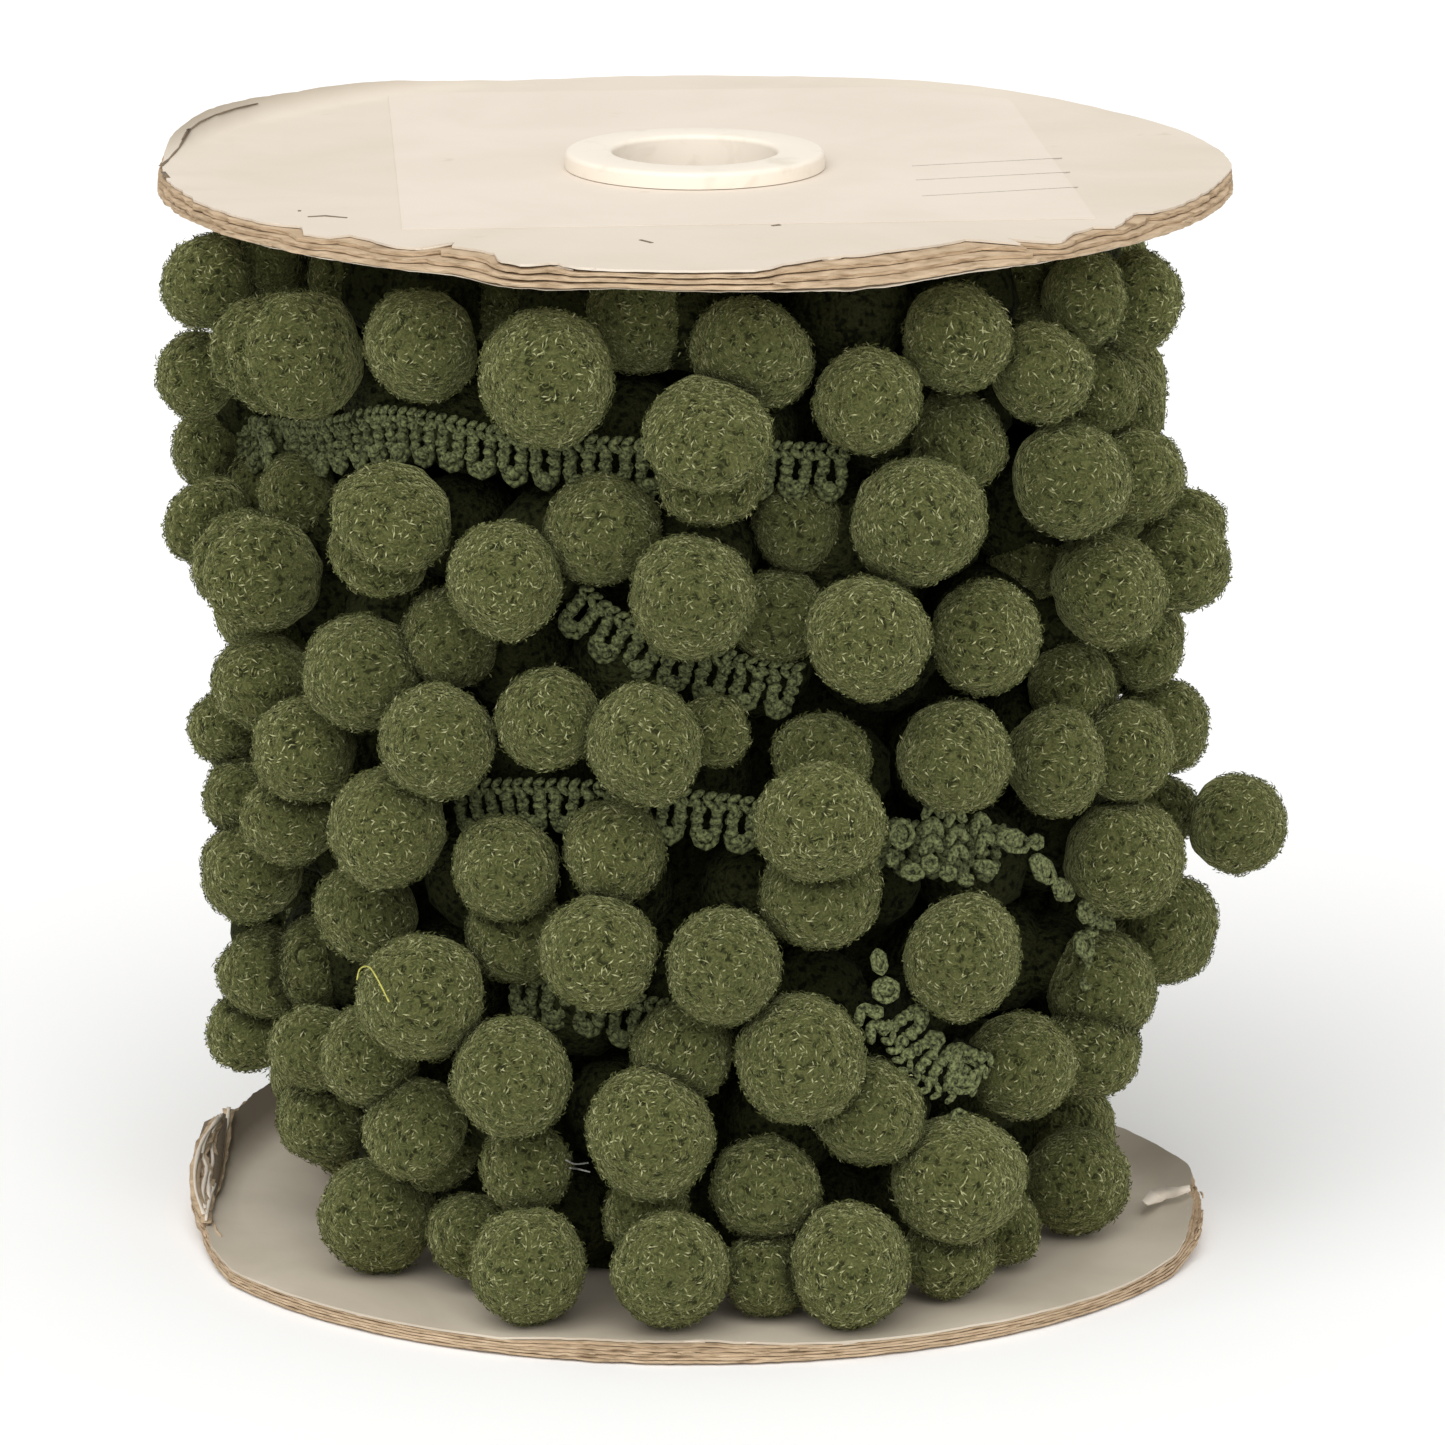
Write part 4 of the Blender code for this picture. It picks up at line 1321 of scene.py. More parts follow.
def fibre_shape():
    """A curled fibre: a narrow leaf of two triangles, arched and bowed to one side."""
    corners = ((0, 0, 0), (0.45, -0.25, 0.16), (1, 0.3, 0), (0.5, 0.75, 0.2))
    mesh = bpy.data.meshes.new("fibre")
    mesh.from_pydata(corners, [], [(0, 1, 3), (1, 2, 3)])
    set_attribute(mesh, "tip", "FLOAT", [x for x, _, _ in corners])
    return bpy.data.objects.new("fibre", mesh)


def skin(bm, rings, closed):
    """Faces between the rings of points, and on to the first ring again or over both ends."""
    count = len(rings[0])
    for here, there in zip(rings, rings[1:] + rings[:1] * closed):
        for i in range(count):
            j = (i + 1) % count
            bm.faces.new((here[i], here[j], there[j], there[i]))
    if not closed:
        bm.faces.new(rings[0])
        bm.faces.new(rings[-1])


def strip_mesh(name, route, width, thick, finish, steps):
    """A flat strip of cloth along a route, closed all round."""
    bm = bmesh.new()
    rings = []
    for i in range(steps):
        at = route.length * i / (steps - 1)
        rings.append([
            bm.verts.new(route.place(at, width / 2 * s, thick / 2 * t))
            for s, t in ((-1, -1), (0, -1), (1, -1), (1, 1), (0, 1), (-1, 1))
        ])
    skin(bm, rings, closed=False)
    return mesh_from(name, bm, finish)


def ribbon_mesh(name, runs, thick, finish):
    """Thin ribbons. Each run is its points, their widths, and the way its face looks."""
    bm = bmesh.new()
    for points, widths, face in runs:
        rings = []
        for i, (point, width) in enumerate(zip(points, widths)):
            before, after = points[max(i - 1, 0)], points[min(i + 1, len(points) - 1)]
            along = (after - before).normalized()
            normal = (face(point) - along * face(point).dot(along)).normalized()
            side = normal.cross(along) * width / 2
            up = normal * thick / 2
            rings.append([
                bm.verts.new(point + side * s + up * t)
                for s, t in ((-1, -1), (1, -1), (1, 1), (-1, 1))
            ])
        skin(bm, rings, closed=False)
    return mesh_from(name, bm, finish)


def ball_cloud(name, balls, shrink, rng):
    """Points for pompoms, each with its own turn, size and dye."""
    points, turns, sizes, dyes = [], [], [], []
    for ball in balls:
        points.append(ball.centre)
        turn = Euler([rng.uniform(0, math.tau) for _ in range(3)])
        size = [
            (ball.radius - shrink) * (1 + rng.uniform(-BALL_STRAY, BALL_STRAY)) for _ in range(3)
        ]
        if ball.share < 1:
            turn = Vector((1, 0, 0)).rotation_difference(ball.press).to_euler()
            size[0] = (ball.radius - shrink) * ball.share
        turns.append(turn)
        sizes.append(size)
        dyes.append(rng.random())
    return point_cloud(name, points, turns, sizes, dyes)


def vertex_places(mesh):
    places = np.empty(len(mesh.vertices) * 3, np.float32)
    mesh.vertices.foreach_get("co", places)
    return places.reshape(-1, 3)


def mark_open(mesh, balls, everyone):
    """Marks where pile can stand, which is not inside another pompom and not facing the
    tube, and how near the next pompom is; the finishes paint shade by both. Returns the area on
    which pile stands."""
    places = vertex_places(mesh)
    centres = np.array([tuple(ball.centre) for ball in balls])
    own = np.repeat(centres, len(places) // len(balls), axis=0)
    out = places - own
    out /= np.linalg.norm(out, axis=1)[:, None]
    level = places - np.array(AXIS)
    level[:, 2] = 0
    level /= np.linalg.norm(level, axis=1)[:, None]
    opened = np.clip(((out * level).sum(1) + FACING_TUBE) * FACING_FADE, 0, 1)
    near = np.ones(len(places))
    for ball in everyone:
        centre = np.array(ball.centre)
        away = places - centre
        pressing = (away @ np.array(ball.press)) ** 2 * (1 / ball.share**2 - 1)
        depth = np.sqrt((away**2).sum(1) + pressing)
        other = np.linalg.norm(own - centre, axis=1) > SAME_PLACE
        opened[other & (depth < ball.radius - PILE_INSIDE)] = 0
        # How near the next pompom is, which the finishes paint as shade.
        beside = np.clip((depth - ball.radius) / NEAR, 0, 1)
        near[other] = np.minimum(near, beside)[other]
    set_attribute(mesh, "open", "FLOAT", opened)
    set_attribute(mesh, "near", "FLOAT", near)
    shares = [opened[list(face.vertices)].mean() * face.area for face in mesh.polygons]
    return sum(shares)


def add_pile(name, mesh, area, count, seed, *nodes):
    lowest = (-FIBRE_LEAN, -FIBRE_RISE[1], 0)
    highest = (FIBRE_LEAN, -FIBRE_RISE[0], math.tau)
    pile = grown(
        name, mesh, PILE_TREE,
        Density=count / area, Length=FIBRE_LENGTH, Width=FIBRE_WIDTH,
        Lowest=lowest, Highest=highest, Pits=PITS_PER_METRE, Fibre=FIBRE, Seed=seed, Finish=PILE,
    )
    return link_piece(name, pile, *nodes, slot="pompom_yarn")


def wool_mesh(name, balls, shrink, seed, subdivisions, finish):
    """The lumpy wool of these pompoms."""
    cloud = ball_cloud(name, balls, shrink, random.Random(SEED + seed))
    return grown(
        name, cloud, POMPOM_TREE,
        Subdivisions=subdivisions, Lump=LUMP_SIZE, Frequency=LUMPS_PER_METRE,
        Crumb=CRUMB_SIZE, Fineness=CRUMBS_PER_METRE, Finish=finish,
    )


def add_pompoms(name, balls, everyone, fibres, seed, subdivisions, *nodes):
    """Pompoms with their pile. Returns both pieces."""
    mesh = wool_mesh(name, balls, PILE_STANDS, seed, subdivisions, WOOL)
    area = mark_open(mesh, balls, everyone)
    made = link_piece(name, mesh, *nodes, slot="pompom_yarn")
    return made, add_pile(f"{name}_pile", mesh, area, fibres, seed, *nodes)


def add_inner_turns():
    """The turns below, in wool darkened as painted shade, none of them marked as near another
    pompom.
    """
    balls = [Pompom(*ball, None, 1) for ball in inner_balls()]
    wool = wool_mesh(
        "inner_pompoms", balls, 0, INNER_WOOL_SEED, INNER_SUBDIVISIONS, PAINTED_SHADE_WOOL
    )
    hub, foot, top = TUBE_R + CLEARANCE, BOARD + CLEARANCE, REEL_HEIGHT - BOARD - CLEARANCE
    profile = ((hub, foot), (DRUM_R, foot), (DRUM_R, top), (hub, top))
    drum = ring_mesh("inner_drum", turned(profile, DRUM_STEPS), PAINTED_SHADE_WOOL, smooth=False)
    for name, mesh in (("inner_pompoms", wool), ("inner_drum", drum)):
        set_attribute(mesh, "near", "FLOAT", np.ones(len(mesh.vertices)))
        link_piece(name, mesh, "wound_trim", slot="pompom_yarn")


def ring_mesh(name, sections, finish, smooth=True):
    """A closed ring about the reel's axis. Each section is its bearing, and the radius and
    height of its points."""
    bm = bmesh.new()
    rings = [
        [bm.verts.new(at_bearing(bearing, *point)) for point in points]
        for bearing, points in sections
    ]
    skin(bm, rings, closed=True)
    return mesh_from(name, bm, finish, smooth)


def turned(profile, steps):
    """The same section at every bearing."""
    return [(math.tau * i / steps, profile) for i in range(steps)]


def fade(share):
    """1 at 0 and 0 from 1 on, with no corner between."""
    share = min(1, abs(share))
    return (1 + math.cos(math.pi * share)) / 2


def board_reach(board, bearing):
    degrees, distances = zip(*board.reach)
    turned = (math.degrees(bearing) + 180) % 360 - 180
    return float(np.interp(turned, degrees, distances)) * MM


def lift(board, bearing, out):
    """How far the board is bent up at this bearing and distance from the axis."""
    bent = 0
    rim = board_reach(board, bearing)
    for mark in board.bends:
        away = (math.degrees(bearing) - mark.bearing + 180) % 360 - 180
        into = (out - rim) / (mark.wide * MM) + 1
        bent += mark.bent * MM * fade(away / mark.half) * min(max(into, 0), 1) ** BEND_POWER
    return bent


def jagged(bearing, seed, fine):
    """A ragged edge's height at a bearing, from -1 to 1."""
    circle = Vector((math.cos(bearing), math.sin(bearing), 0)) * fine
    return noise.noise(circle + Vector((0, 0, seed * 7.3)))


def rim_chart(paper, lowest, board):
    """What the pixels say at each bearing: the paper's reach, and the board's lowest line."""
    reach = []
    for across, down in paper:
        point = on_face(across, down, board)
        reach.append((bearing_of(point), min((point - AXIS).to_2d().length, FLANGE_R)))
    low = []
    for across, down in lowest:
        point = seen_at(across, down, FLANGE_R - 0.5 * MM)
        low.append((bearing_of(point), point.z))
    return sorted(reach), sorted(low)


def on_face(across, down, board, above=0):
    """Where the pixel's sight line meets a flange's upper face, bent as it is, or the same
    this far above the face."""
    level = board.base + BOARD + above
    point = seen_on_level(across, down, level)
    for _ in range(4):
        bearing = bearing_of(point)
        out = min((point - AXIS).to_2d().length, board_reach(board, bearing))
        point = seen_on_level(across, down, level + lift(board, bearing, out))
    return point


def within_rim(point, board, above):
    """The point this far above the board's face, moved in where it is past the rim."""
    bearing = bearing_of(point)
    out = min((point - AXIS).to_2d().length, board_reach(board, bearing) - CRACK_BACK)
    return at_bearing(bearing, out, board.base + BOARD + lift(board, bearing, out) + above)


def read_chart(chart, bearing, outside):
    """The chart's value at a bearing, fading to the plain one outside its ends."""
    bearing = (bearing + math.pi) % math.tau - math.pi
    bearings = [chart[0][0] - CHART_FADE, *(b for b, _ in chart), chart[-1][0] + CHART_FADE]
    values = [outside, *(value for _, value in chart), outside]
    return float(np.interp(bearing, bearings, values))


def hang(board, low_chart, bearing):
    """How far the lowest ply hangs below the bent board at the rim."""
    bent = board.base + lift(board, bearing, board_reach(board, bearing))
    return max(bent - max(read_chart(low_chart, bearing, bent), 0), 0)


def ply_mesh(name, hole, heights, reach, height_at, finish):
    """A thin closed disc with a hole. heights are its under and upper side by the tube; reach
    gives its rim's radius at a bearing, and height_at how far it is moved up at a bearing,
    a radius and a share of the parted stretch."""
    sections = []
    worn = []
    for i in range(FLANGE_STEPS):
        bearing = math.tau * i / FLANGE_STEPS
        rim = reach(bearing)
        # Bent-up facing is darkened by soiling and painted shade, sooner at the left than the
        # right.
        soiled = SOIL_AND_SHADE_LEFT if math.sin(bearing) < 0 else SOIL_AND_SHADE_RIGHT
        section = []
        for side, height in enumerate(heights):
            run = [(hole, height, 0)]
            for share in PLY_SHARES:
                out = PARTED_FROM + (rim - PARTED_FROM) * share
                up = height_at(bearing, out, share)
                run.append((out, height + up, max(0, min(1, up / soiled))))
            section += run[::-1] if side else run
        sections.append((bearing, [point[:2] for point in section]))
        worn += [shade for _, _, shade in section]
    mesh = ring_mesh(name, sections, finish)
    set_attribute(mesh, "worn", "FLOAT", worn)
    mesh.set_sharp_from_angle(angle=PLY_SHARP)
    return mesh


def add_flange(board, charts, upper_face, lower_face):
    """A flange of plies: brown board under a paper facing, and over another one unless its lower
    face is kraft, torn and split at the rim.
    """
    reach_chart, low_chart = charts
    base, plies = board.base, board.plies
    hole = TUBE_R + CLEARANCE
    under = UNDER_PAPER if lower_face is not KRAFT else 0
    ply_thick = (BOARD - PAPER - under) / (plies - bool(under))

    for k in range(plies + 1):
        paper = k == plies
        below = under + (k - bool(under)) * ply_thick
        above = below + (PAPER if paper else ply_thick - PLY_GAP)
        if under and k == 0:
            below, above = 0, under - PLY_GAP
        seed = k + (3 if base else 0)

        def reach(bearing, k=k, seed=seed, paper=paper):
            outer = board_reach(board, bearing)
            torn = min(read_chart(reach_chart, bearing, outer), outer)
            out = outer + (torn - outer) * (k / plies) ** 1.5
            if not paper:
                out = min(out, outer - (UNDER_PAPER_BACK if under and k == 0 else OVERHANG))
            frayed = jagged(bearing, seed, 22) + jagged(bearing, seed + 9, 75)
            ragged = min((outer - torn) / RAGGED_AT, 1)
            return min(out + RIM_FRAY * frayed * (0.5 + ragged) * MM, outer)

        def height_at(bearing, out, share, k=k, seed=seed):
            wave = PLY_WAVE * jagged(bearing, seed + 20, 18) * share
            low = hang(board, low_chart, bearing)
            parted = min(low / RAGGED_AT, 1) * PLY_PARTED * jagged(bearing, seed + 5, 40)
            drop = low * (1 - k / plies) * share**2
            return lift(board, bearing, out) + wave + parted * share - drop

        finish = upper_face if paper else lower_face if k == 0 else KRAFT
        label = f"{board.name}_facing" if paper else f"{board.name}_ply_{k + 1}"
        mesh = ply_mesh(label, hole, (base + below, base + above), reach, height_at, finish)
        link_piece(label, mesh, board.name, slot="faced_board")


def upwards(point):
    """The way that a ribbon on the level upper flange looks, wherever it is."""
    return Vector((0, 0, 1))


def towards_front(point):
    """The way that a ribbon on a bent-up rim looks, wherever it is."""
    return Vector((0.1, -0.75, 0.65))


def add_ribbons(name, runs, thick, finish, *nodes):
    mesh = ribbon_mesh(name, runs, thick, finish)
    link_piece(name, mesh, *nodes, slot="faced_board")


def add_cracks(rng):
    """Cracks and scuffs of the upper facing, with painted shade along its crease."""
    runs = []
    for pixels in CRACKS:
        line = [within_rim(on_face(*pixel, TOP_BOARD), TOP_BOARD, CRACK_UP) for pixel in pixels]
        runs.append((line, [rng.uniform(*CRACK_WIDE) * MM for _ in line], upwards))
    add_ribbons("facing_cracks", runs, CRACK_THICK, CRACK_AND_SHADE_LINE, "flange_top")


def on_bent_end(across, down, up):
    """The pixel's place on the lower flange's bent left end, this far above its face."""
    return within_rim(on_face(across, down, BOTTOM_BOARD), BOTTOM_BOARD, up * MM)


def add_torn_ends():
    """The flap at the lower flange's right end, and the gap between its plies at the left, dark
    with painted shade.
    """
    flap = [on_face(torn.across, torn.down, BOTTOM_BOARD, torn.up * MM) for torn in FLAP]
    gap = [on_bent_end(torn.across, torn.down, torn.up) for torn in TORN_GAP]
    for name, line, marks, finish in (
        ("torn_flap", flap, FLAP, TOP_FACE), ("torn_gap", gap, TORN_GAP, CRACK_AND_SHADE_LINE),
    ):
        run = (line, [torn.wide * MM for torn in marks], towards_front)
        add_ribbons(name, [run], TORN_THICK, finish, "flange_bottom")


def torn_edges(rng):
    """The edges that curl over the gap. Each ribbon comes with its kind."""
    for pixels in TORN_EDGES:
        for up, wide, kind in TORN_RIBBONS:
            line = smooth_path([on_bent_end(*pixel, up) for pixel in pixels], TORN_POINTS)
            yield kind, (line, [rng.uniform(*wide) * MM for _ in line], towards_front)


def bent_shreds(rng):
    """Shreds along the bent left end, by turns of paper and of board."""
    for i in range(SHREDS):
        share = i / (SHREDS - 1)
        out = SHRED_OUT[0] + (SHRED_OUT[1] - SHRED_OUT[0]) * share
        up = SHRED_UP[0] + (SHRED_UP[1] - SHRED_UP[0]) * share
        first = rng.uniform(SHRED_BEARINGS[0], SHRED_BEARINGS[0] + SHRED_STRAY)
        last = rng.uniform(SHRED_BEARINGS[1] - SHRED_STRAY, SHRED_BEARINGS[1])
        line, widths = [], []
        for step in range(SHRED_POINTS):
            bearing = math.radians(first + (last - first) * step / (SHRED_POINTS - 1))
            sway = SHRED_SWAY * jagged(bearing, i, 17)
            height = lift(BOTTOM_BOARD, bearing, out * MM) + (up + sway / 2.5) * MM
            line.append(at_bearing(bearing, (out + sway) * MM, height))
            wide, varied = SHRED_WIDE
            widths.append((wide + varied * jagged(bearing, i + 3, 15)) * MM)
        yield i % 2, (line, widths, away_from_axis)


def rim_frays(rng, charts):
    """Frays of paper and of board along both torn rims."""
    for _ in range(FRAYS):
        board = rng.choice((TOP_BOARD, BOTTOM_BOARD))
        reach_chart, low_chart = charts[board.name]
        paper = rng.random() < FRAYS_IN_PAPER
        bearing = math.radians(rng.uniform(*FRAY_BEARINGS))
        length = rng.uniform(*FRAY_LENGTH) * MM / FLANGE_R
        down = rng.uniform(*(PAPER_FRAY_DOWN if paper else BOARD_FRAY_DOWN))
        line = []
        for step in range(len(FRAY_WIDTHS)):
            at = bearing + length * step / (len(FRAY_WIDTHS) - 1)
            curl = FRAY_CURL * jagged(at, down * 9, 30)
            rim = board_reach(board, at)
            if paper:
                rim = min(read_chart(reach_chart, at, rim), rim)
            sunk = down * MM * (1 + hang(board, low_chart, at) / BOARD)
            height = board.base + BOARD + lift(board, at, rim) - sunk + curl
            line.append(at_bearing(at, rim - FRAY_BACK + curl, height))
        kind = IN_PAPER if paper else IN_BOARD
        yield kind, (line, [wide * MM for wide in FRAY_WIDTHS], away_from_axis)


def add_wear(charts):
    """Cracks of the upper facing, its bare label, and the torn bits of both rims."""
    rng = random.Random(WEAR_SEED)
    add_cracks(rng)
    add_label()
    add_torn_ends()
    shreds = ([], [])
    for bits in (torn_edges(rng), bent_shreds(rng), rim_frays(rng, charts)):
        for kind, run in bits:
            shreds[kind].append(run)
    for kind, name, finish in (
        (IN_PAPER, "shreds_of_paper", TOP_FACE), (IN_BOARD, "shreds_of_board", KRAFT),
    ):
        add_ribbons(name, shreds[kind], SHRED_THICK, finish, "flange_bottom", "flange_top")


def add_label():
    """A bare paper label round the collar, with three ruled lines."""
    corners = [(seen_on_level(*pixel, REEL_HEIGHT) - AXIS).to_2d() for pixel in LABEL]
    bearings = {math.tau * i / LABEL_STEPS - math.pi for i in range(LABEL_STEPS)}
    bearings |= {math.atan2(corner.x, -corner.y) for corner in corners}
    inner, low, high = COLLAR_R - LABEL_UNDER, REEL_HEIGHT + LABEL_LOW, REEL_HEIGHT + LABEL_HIGH
    sections = []
    for bearing in sorted(bearings):
        way = Vector((math.sin(bearing), -math.cos(bearing)))
        outs = []
        for here, there in zip(corners, corners[1:] + corners[:1]):
            edge = there - here
            across = way.x * edge.y - way.y * edge.x
            out = (here.x * edge.y - here.y * edge.x) / across if abs(across) > 1e-9 else -1
            if out > 0:
                outs.append(out)
        outer = min(*outs, board_reach(TOP_BOARD, bearing) - LABEL_BACK)
        sections.append((bearing, ((inner, low), (outer, low), (outer, high), (inner, high))))
    label = ring_mesh("bare_label", sections, LABEL_FACE, smooth=False)
    link_piece("bare_label", label, "flange_top", slot="faced_board")
    rules = []
    for pixels in RULES:
        line = [seen_on_level(*pixel, REEL_HEIGHT + RULE_UP) for pixel in pixels]
        rules.append((line, [RULE_WIDE] * len(line), upwards))
    add_ribbons("label_rules", rules, RULE_THICK, RULE_INK, "flange_top")


def add_strays():
    """Stray fibres caught on the pompoms."""
    for name, strays, finish in (
        ("yellow_strays", YELLOW_STRAYS, YELLOW_THREAD),
        ("white_strays", WHITE_STRAYS, WHITE_THREAD),
    ):
        lines = []
        for stray in strays:
            line = [on_ball(*pixel, stray.ball) for pixel in stray.middle]
            lines.append(smooth_path(line, STRAY_POINTS))
        cloud = line_cloud(name, lines)
        mesh = grown(name, cloud, CORD_TREE, Radius=STRAY_R, Sides=STRAY_SIDES, Finish=finish)
        link_piece(name, mesh, "wound_trim", slot="pompom_yarn")


def add_collar():
    """The ring in the tube's upper end, with soft upper edges."""
    under, top = COLLAR_LOW[2], COLLAR_HIGH[2]
    seat = REEL_HEIGHT + CLEARANCE
    sleeve = TUBE_R - TUBE_WALL - CLEARANCE
    profile = [(BORE_R, under), (sleeve, under), (sleeve, seat), (COLLAR_R, seat)]
    turns = [math.pi / 2 * i / COLLAR_SOFT_STEPS for i in range(COLLAR_SOFT_STEPS + 1)]
    for turn in turns:
        inward, down = 1 - math.cos(turn), 1 - math.sin(turn)
        profile.append((COLLAR_R - COLLAR_SOFT * inward, top - COLLAR_SOFT * down))
    for turn in turns:
        outward, down = 1 - math.sin(turn), 1 - math.cos(turn)
        profile.append((BORE_R + COLLAR_SOFT * outward, top - COLLAR_SOFT * down))
    mesh = ring_mesh("collar", turned(profile, COLLAR_STEPS), COLLAR)
    mesh.set_sharp_from_angle(angle=COLLAR_SHARP)
    link_piece("collar", mesh, "collar_top", slot="collar_ring")


def add_cord(name, lines, radius, finish, node, closed=False):
    """Cord along the lines, as a piece of the braid."""
    mesh = grown(
        name, line_cloud(name, lines, closed), CORD_TREE,
        Radius=radius, Sides=CORD_SIDES, Finish=finish,
    )
    return link_piece(name, mesh, node, slot="braid_yarn")


def add_stitches(name, points, turns, sizes, node):
    """A stitch on each of the points, as a piece of the braid."""
    mesh = grown(
        name, point_cloud(name, points, turns, sizes), COPIES_TREE,
        Shape=STITCH_SHAPE, Finish=STITCH_YARN,
    )
    return link_piece(name, mesh, node, slot="braid_yarn")


def add_braid():
    """The braid that shows between the pompoms, with its twisted stretches."""
    routes = [Route(stretch_path(stretch)) for stretch in BRAIDS]
    routes += [Route(back_braid(course)) for course in BACK_BRAID_COURSES]
    leaves = [links + fills for links, fills in zip(link_stitches(), ring_fills())]
    add_cord("braid_loops", loop_cords(routes), CORD_R, CORD, "wound_trim")
    add_stitches("braid_plait", *plait_stitches(routes), "wound_trim")
    add_stitches("braid_links", *leaves, "wound_trim")
    add_cord("braid_rings", ring_lines(), RING_CORD_R, STITCH_YARN, "wound_trim", closed=True)


def add_loose_end(everyone):
    """The braid's cut end: a backing strip, its loops and plait, and the last pompom."""
    route = Route(stretch_path(TAIL))
    pieces = [
        add_cord("loose_loops", loop_cords([route]), CORD_R, CORD, "loose_end"),
        add_stitches("loose_plait", *plait_stitches([route]), "loose_end"),
    ]
    pieces += add_pompoms(
        "last_pompom", everyone[-1:], everyone, LAST_FIBRES, LAST_SEED, BALL_SUBDIVISIONS,
        "loose_end",
    )
    # The backing strip is in wool darkened as painted shade behind the loops.
    strip = strip_mesh(
        "loose_braid", route, BRAID_WIDTH, BACKING_THICK, PAINTED_SHADE_WOOL, BACKING_STEPS
    )
    braid = link_piece("loose_braid", strip, "loose_end", slot="braid_yarn")


def add_camera():
    data = bpy.data.cameras.new("camera")
    data.sensor_width = SENSOR
    data.lens = FOCAL * SENSOR / PHOTO_SIZE
    data.shift_x = (PHOTO_SIZE / 2 - PRINCIPAL[0]) / PHOTO_SIZE
    data.shift_y = (PRINCIPAL[1] - PHOTO_SIZE / 2) / PHOTO_SIZE
    data.clip_end = 20
    made = bpy.data.objects.new("camera", data)
    made.location = AXIS + Vector((0, -EYE_DISTANCE, EYE_HEIGHT))
    made.rotation_euler = (math.pi / 2 - EYE_TILT, 0, 0)
    bpy.context.scene.collection.objects.link(made)
    bpy.context.scene.camera = made


def add_sun(name, place, spread, power):
    """An even light from that side, as soft as its spread is wide."""
    data = bpy.data.lights.new(name, "SUN")
    data.angle = spread
    data.energy = power
    made = bpy.data.objects.new(name, data)
    made.location = place
    made.rotation_euler = (-Vector(place)).to_track_quat("-Z", "Y").to_euler()
    bpy.context.scene.collection.objects.link(made)


def add_studio():
    """A pale floor, a bright room and two soft lights."""
    bm = bmesh.new()
    bmesh.ops.create_grid(bm, x_segments=4, y_segments=4, size=4)
    floor = bpy.data.objects.new("floor", mesh_from("floor", bm, floor_finish()))
    floor.data.transform(Matrix.Translation((0, 0, -0.5 * MM)))
    bpy.context.scene.collection.objects.link(floor)
    floor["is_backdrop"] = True
    world = bpy.data.worlds.new("room")
    world.use_nodes = True
    room = world.node_tree.nodes["Background"]
    room.inputs["Color"].default_value = (1.0, 0.99, 0.97, 1)
    room.inputs["Strength"].default_value = 0.62
    bpy.context.scene.world = world
    add_sun("key", (-0.3, -1.0, 1.15), math.radians(64), 2.1)
    add_sun("fill", (0.9, -1.2, 0.5), math.radians(60), 0.5)
    bpy.context.scene.view_settings.view_transform = "Standard"


def add_outer_pompoms():
    """The outermost pompoms, in four pieces. Returns all of them, the last one included."""
    groups = {name: [seat_ball(ball) for ball in balls] for name, balls in SEEN.items()}
    groups["back"] = back_balls()
    seats = [ball for group in groups.values() for ball in group]
    everyone = pressed([*seats, seat_ball(TAIL_BALL)])
    first = 0
    for seed, (name, group) in enumerate(groups.items(), POMPOM_SEED):
        balls = everyone[first : first + len(group)]
        first += len(group)
        fibres, subdivisions = FRONT_FIBRES, BALL_SUBDIVISIONS
        if name == "back":
            fibres, subdivisions = BACK_FIBRES, BACK_SUBDIVISIONS
        add_pompoms(f"pompoms_{name}", balls, everyone, fibres, seed, subdivisions, "wound_trim")
    return everyone


PILE = pile_finish()
WOOL = wool_finish("matted olive wool", (0.027, 0.029, 0.009), (0.113, 0.121, 0.041), 0.8)
# Wool darkened as painted shade, for the turns below and the loose end's backing strip.
PAINTED_SHADE_WOOL = wool_finish("deep olive wool", (0.008, 0.009, 0.003), (0.030, 0.033, 0.011), 0.0)
CORD = cord_finish("olive braid cord", (0.015, 0.018, 0.007), (0.188, 0.210, 0.085))
STITCH_YARN = yarn_finish("olive stitch yarn", (0.017, 0.020, 0.008), (0.262, 0.291, 0.123))
KRAFT = kraft_finish()
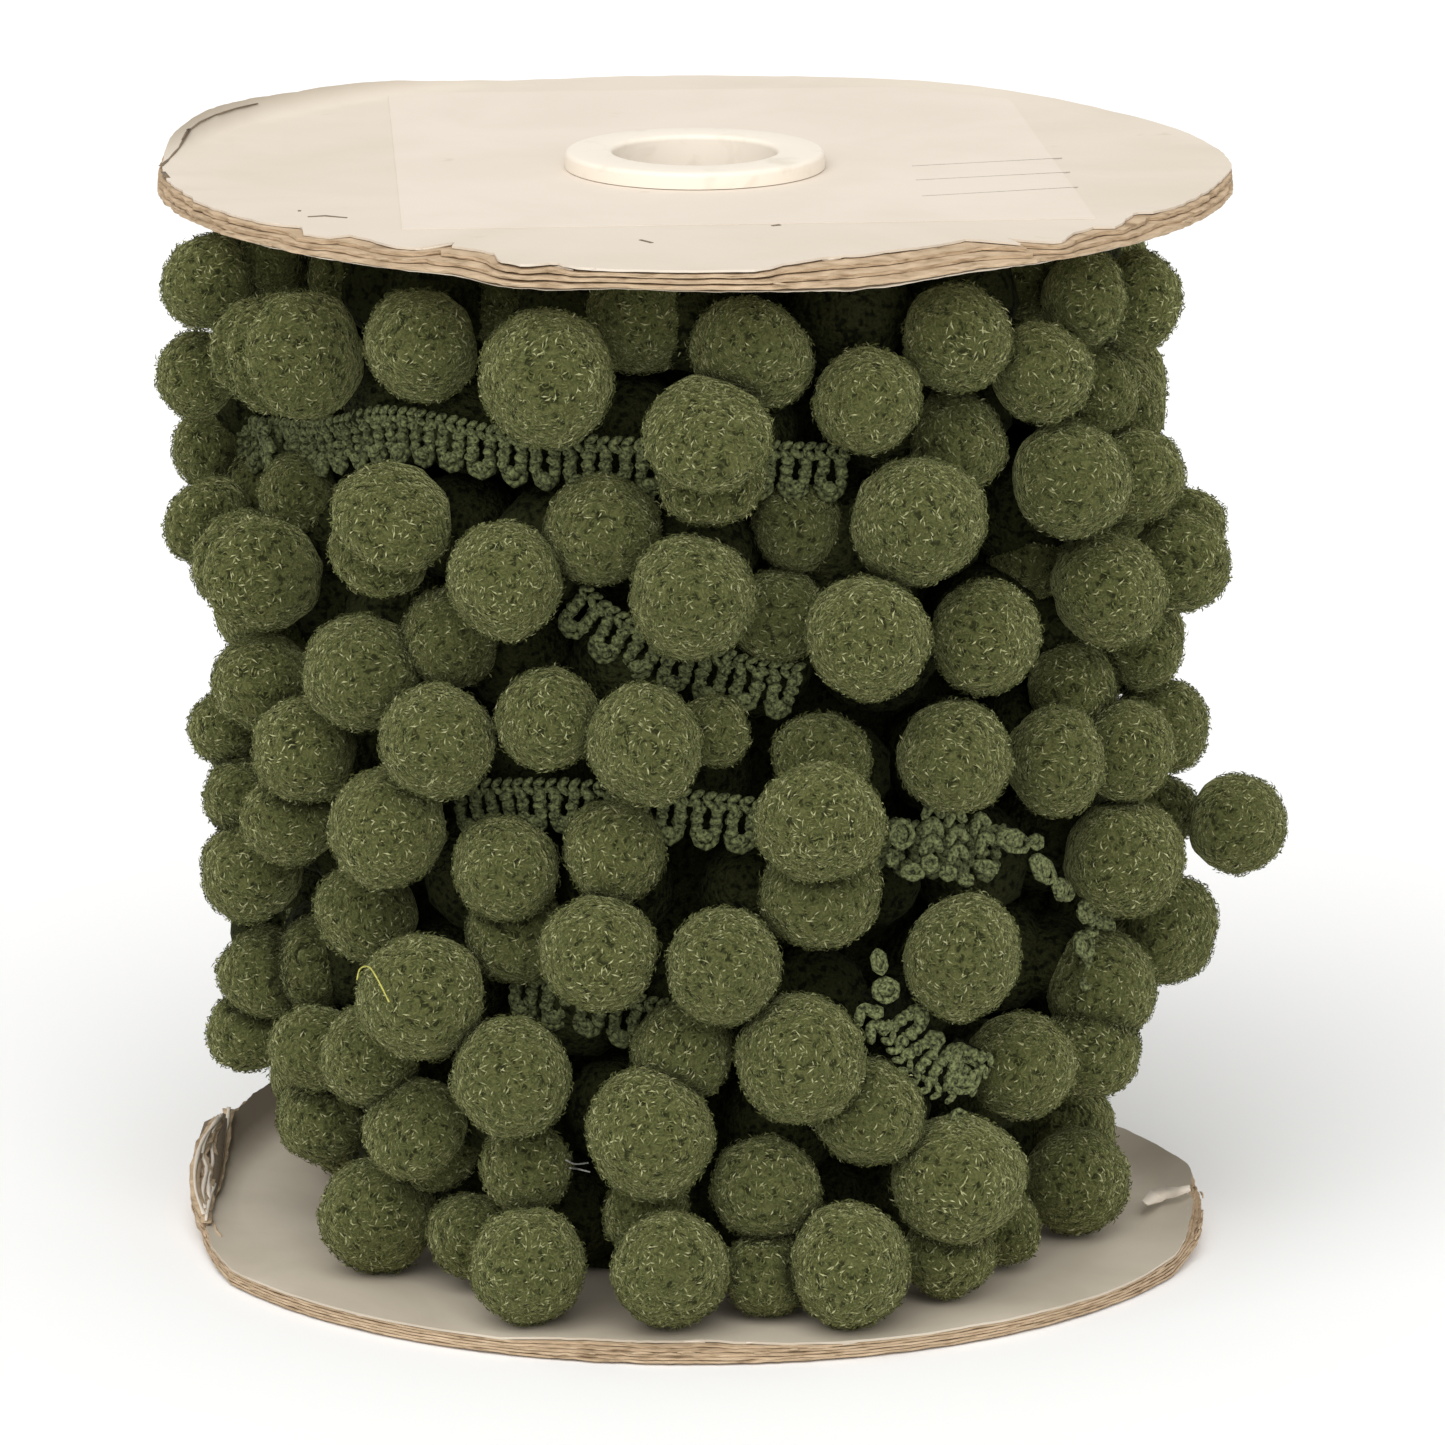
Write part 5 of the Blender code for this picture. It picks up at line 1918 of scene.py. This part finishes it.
# Bent-up cream facing, soiled and in painted shade.
SOIL_AND_SHADE_CREAM = (0.42, 0.36, 0.28)
TOP_FACE = paper_finish(
    "cream paper facing", (0.725, 0.645, 0.545), (0.675, 0.595, 0.490), SOIL_AND_SHADE_CREAM, 60
)
INNER_FACE = paper_finish(
    "greyed paper facing", (0.60, 0.53, 0.425), (0.49, 0.425, 0.33), (0.175, 0.138, 0.098), 50
)
LABEL_FACE = paper_finish(
    "bare label paper", (0.755, 0.675, 0.580), (0.715, 0.635, 0.540), SOIL_AND_SHADE_CREAM, 60
)
# Dark lines: cracks, and painted shade along the crease and in the torn gap.
CRACK_AND_SHADE_LINE = thread_finish("cracked edge", (0.20, 0.145, 0.09))
RULE_INK = thread_finish("faint ruled line", (0.42, 0.38, 0.33))
YELLOW_THREAD = thread_finish("yellow stray fibre", (0.52, 0.50, 0.10))
WHITE_THREAD = thread_finish("white stray fibre", (0.72, 0.72, 0.66))
COLLAR = collar_finish()
POMPOM_TREE = pompom_tree()
PILE_TREE = pile_tree()
CORD_TREE = cord_tree()
COPIES_TREE = copies_tree()
STITCH_SHAPE = stitch_shape()
FIBRE = fibre_shape()


def main():
    add_camera()
    add_studio()
    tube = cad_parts["core_tube"]
    tube.data.materials.clear()
    tube.data.materials.append(tube_finish())
    everyone = add_outer_pompoms()
    add_inner_turns()
    add_braid()
    add_loose_end(everyone)
    charts = {
        TOP_BOARD.name: rim_chart(TOP_PAPER, TOP_LOWEST, TOP_BOARD),
        BOTTOM_BOARD.name: rim_chart(BOTTOM_PAPER, BOTTOM_LOWEST, BOTTOM_BOARD),
    }
    add_flange(TOP_BOARD, charts[TOP_BOARD.name], TOP_FACE, INNER_FACE)
    add_flange(BOTTOM_BOARD, charts[BOTTOM_BOARD.name], INNER_FACE, KRAFT)
    add_wear(charts)
    add_strays()
    add_collar()


main()
boxes = {"cad": CAD_BOX, "visual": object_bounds()}
rows = {name: [list(map(float, corner)) for corner in box] for name, box in boxes.items()}
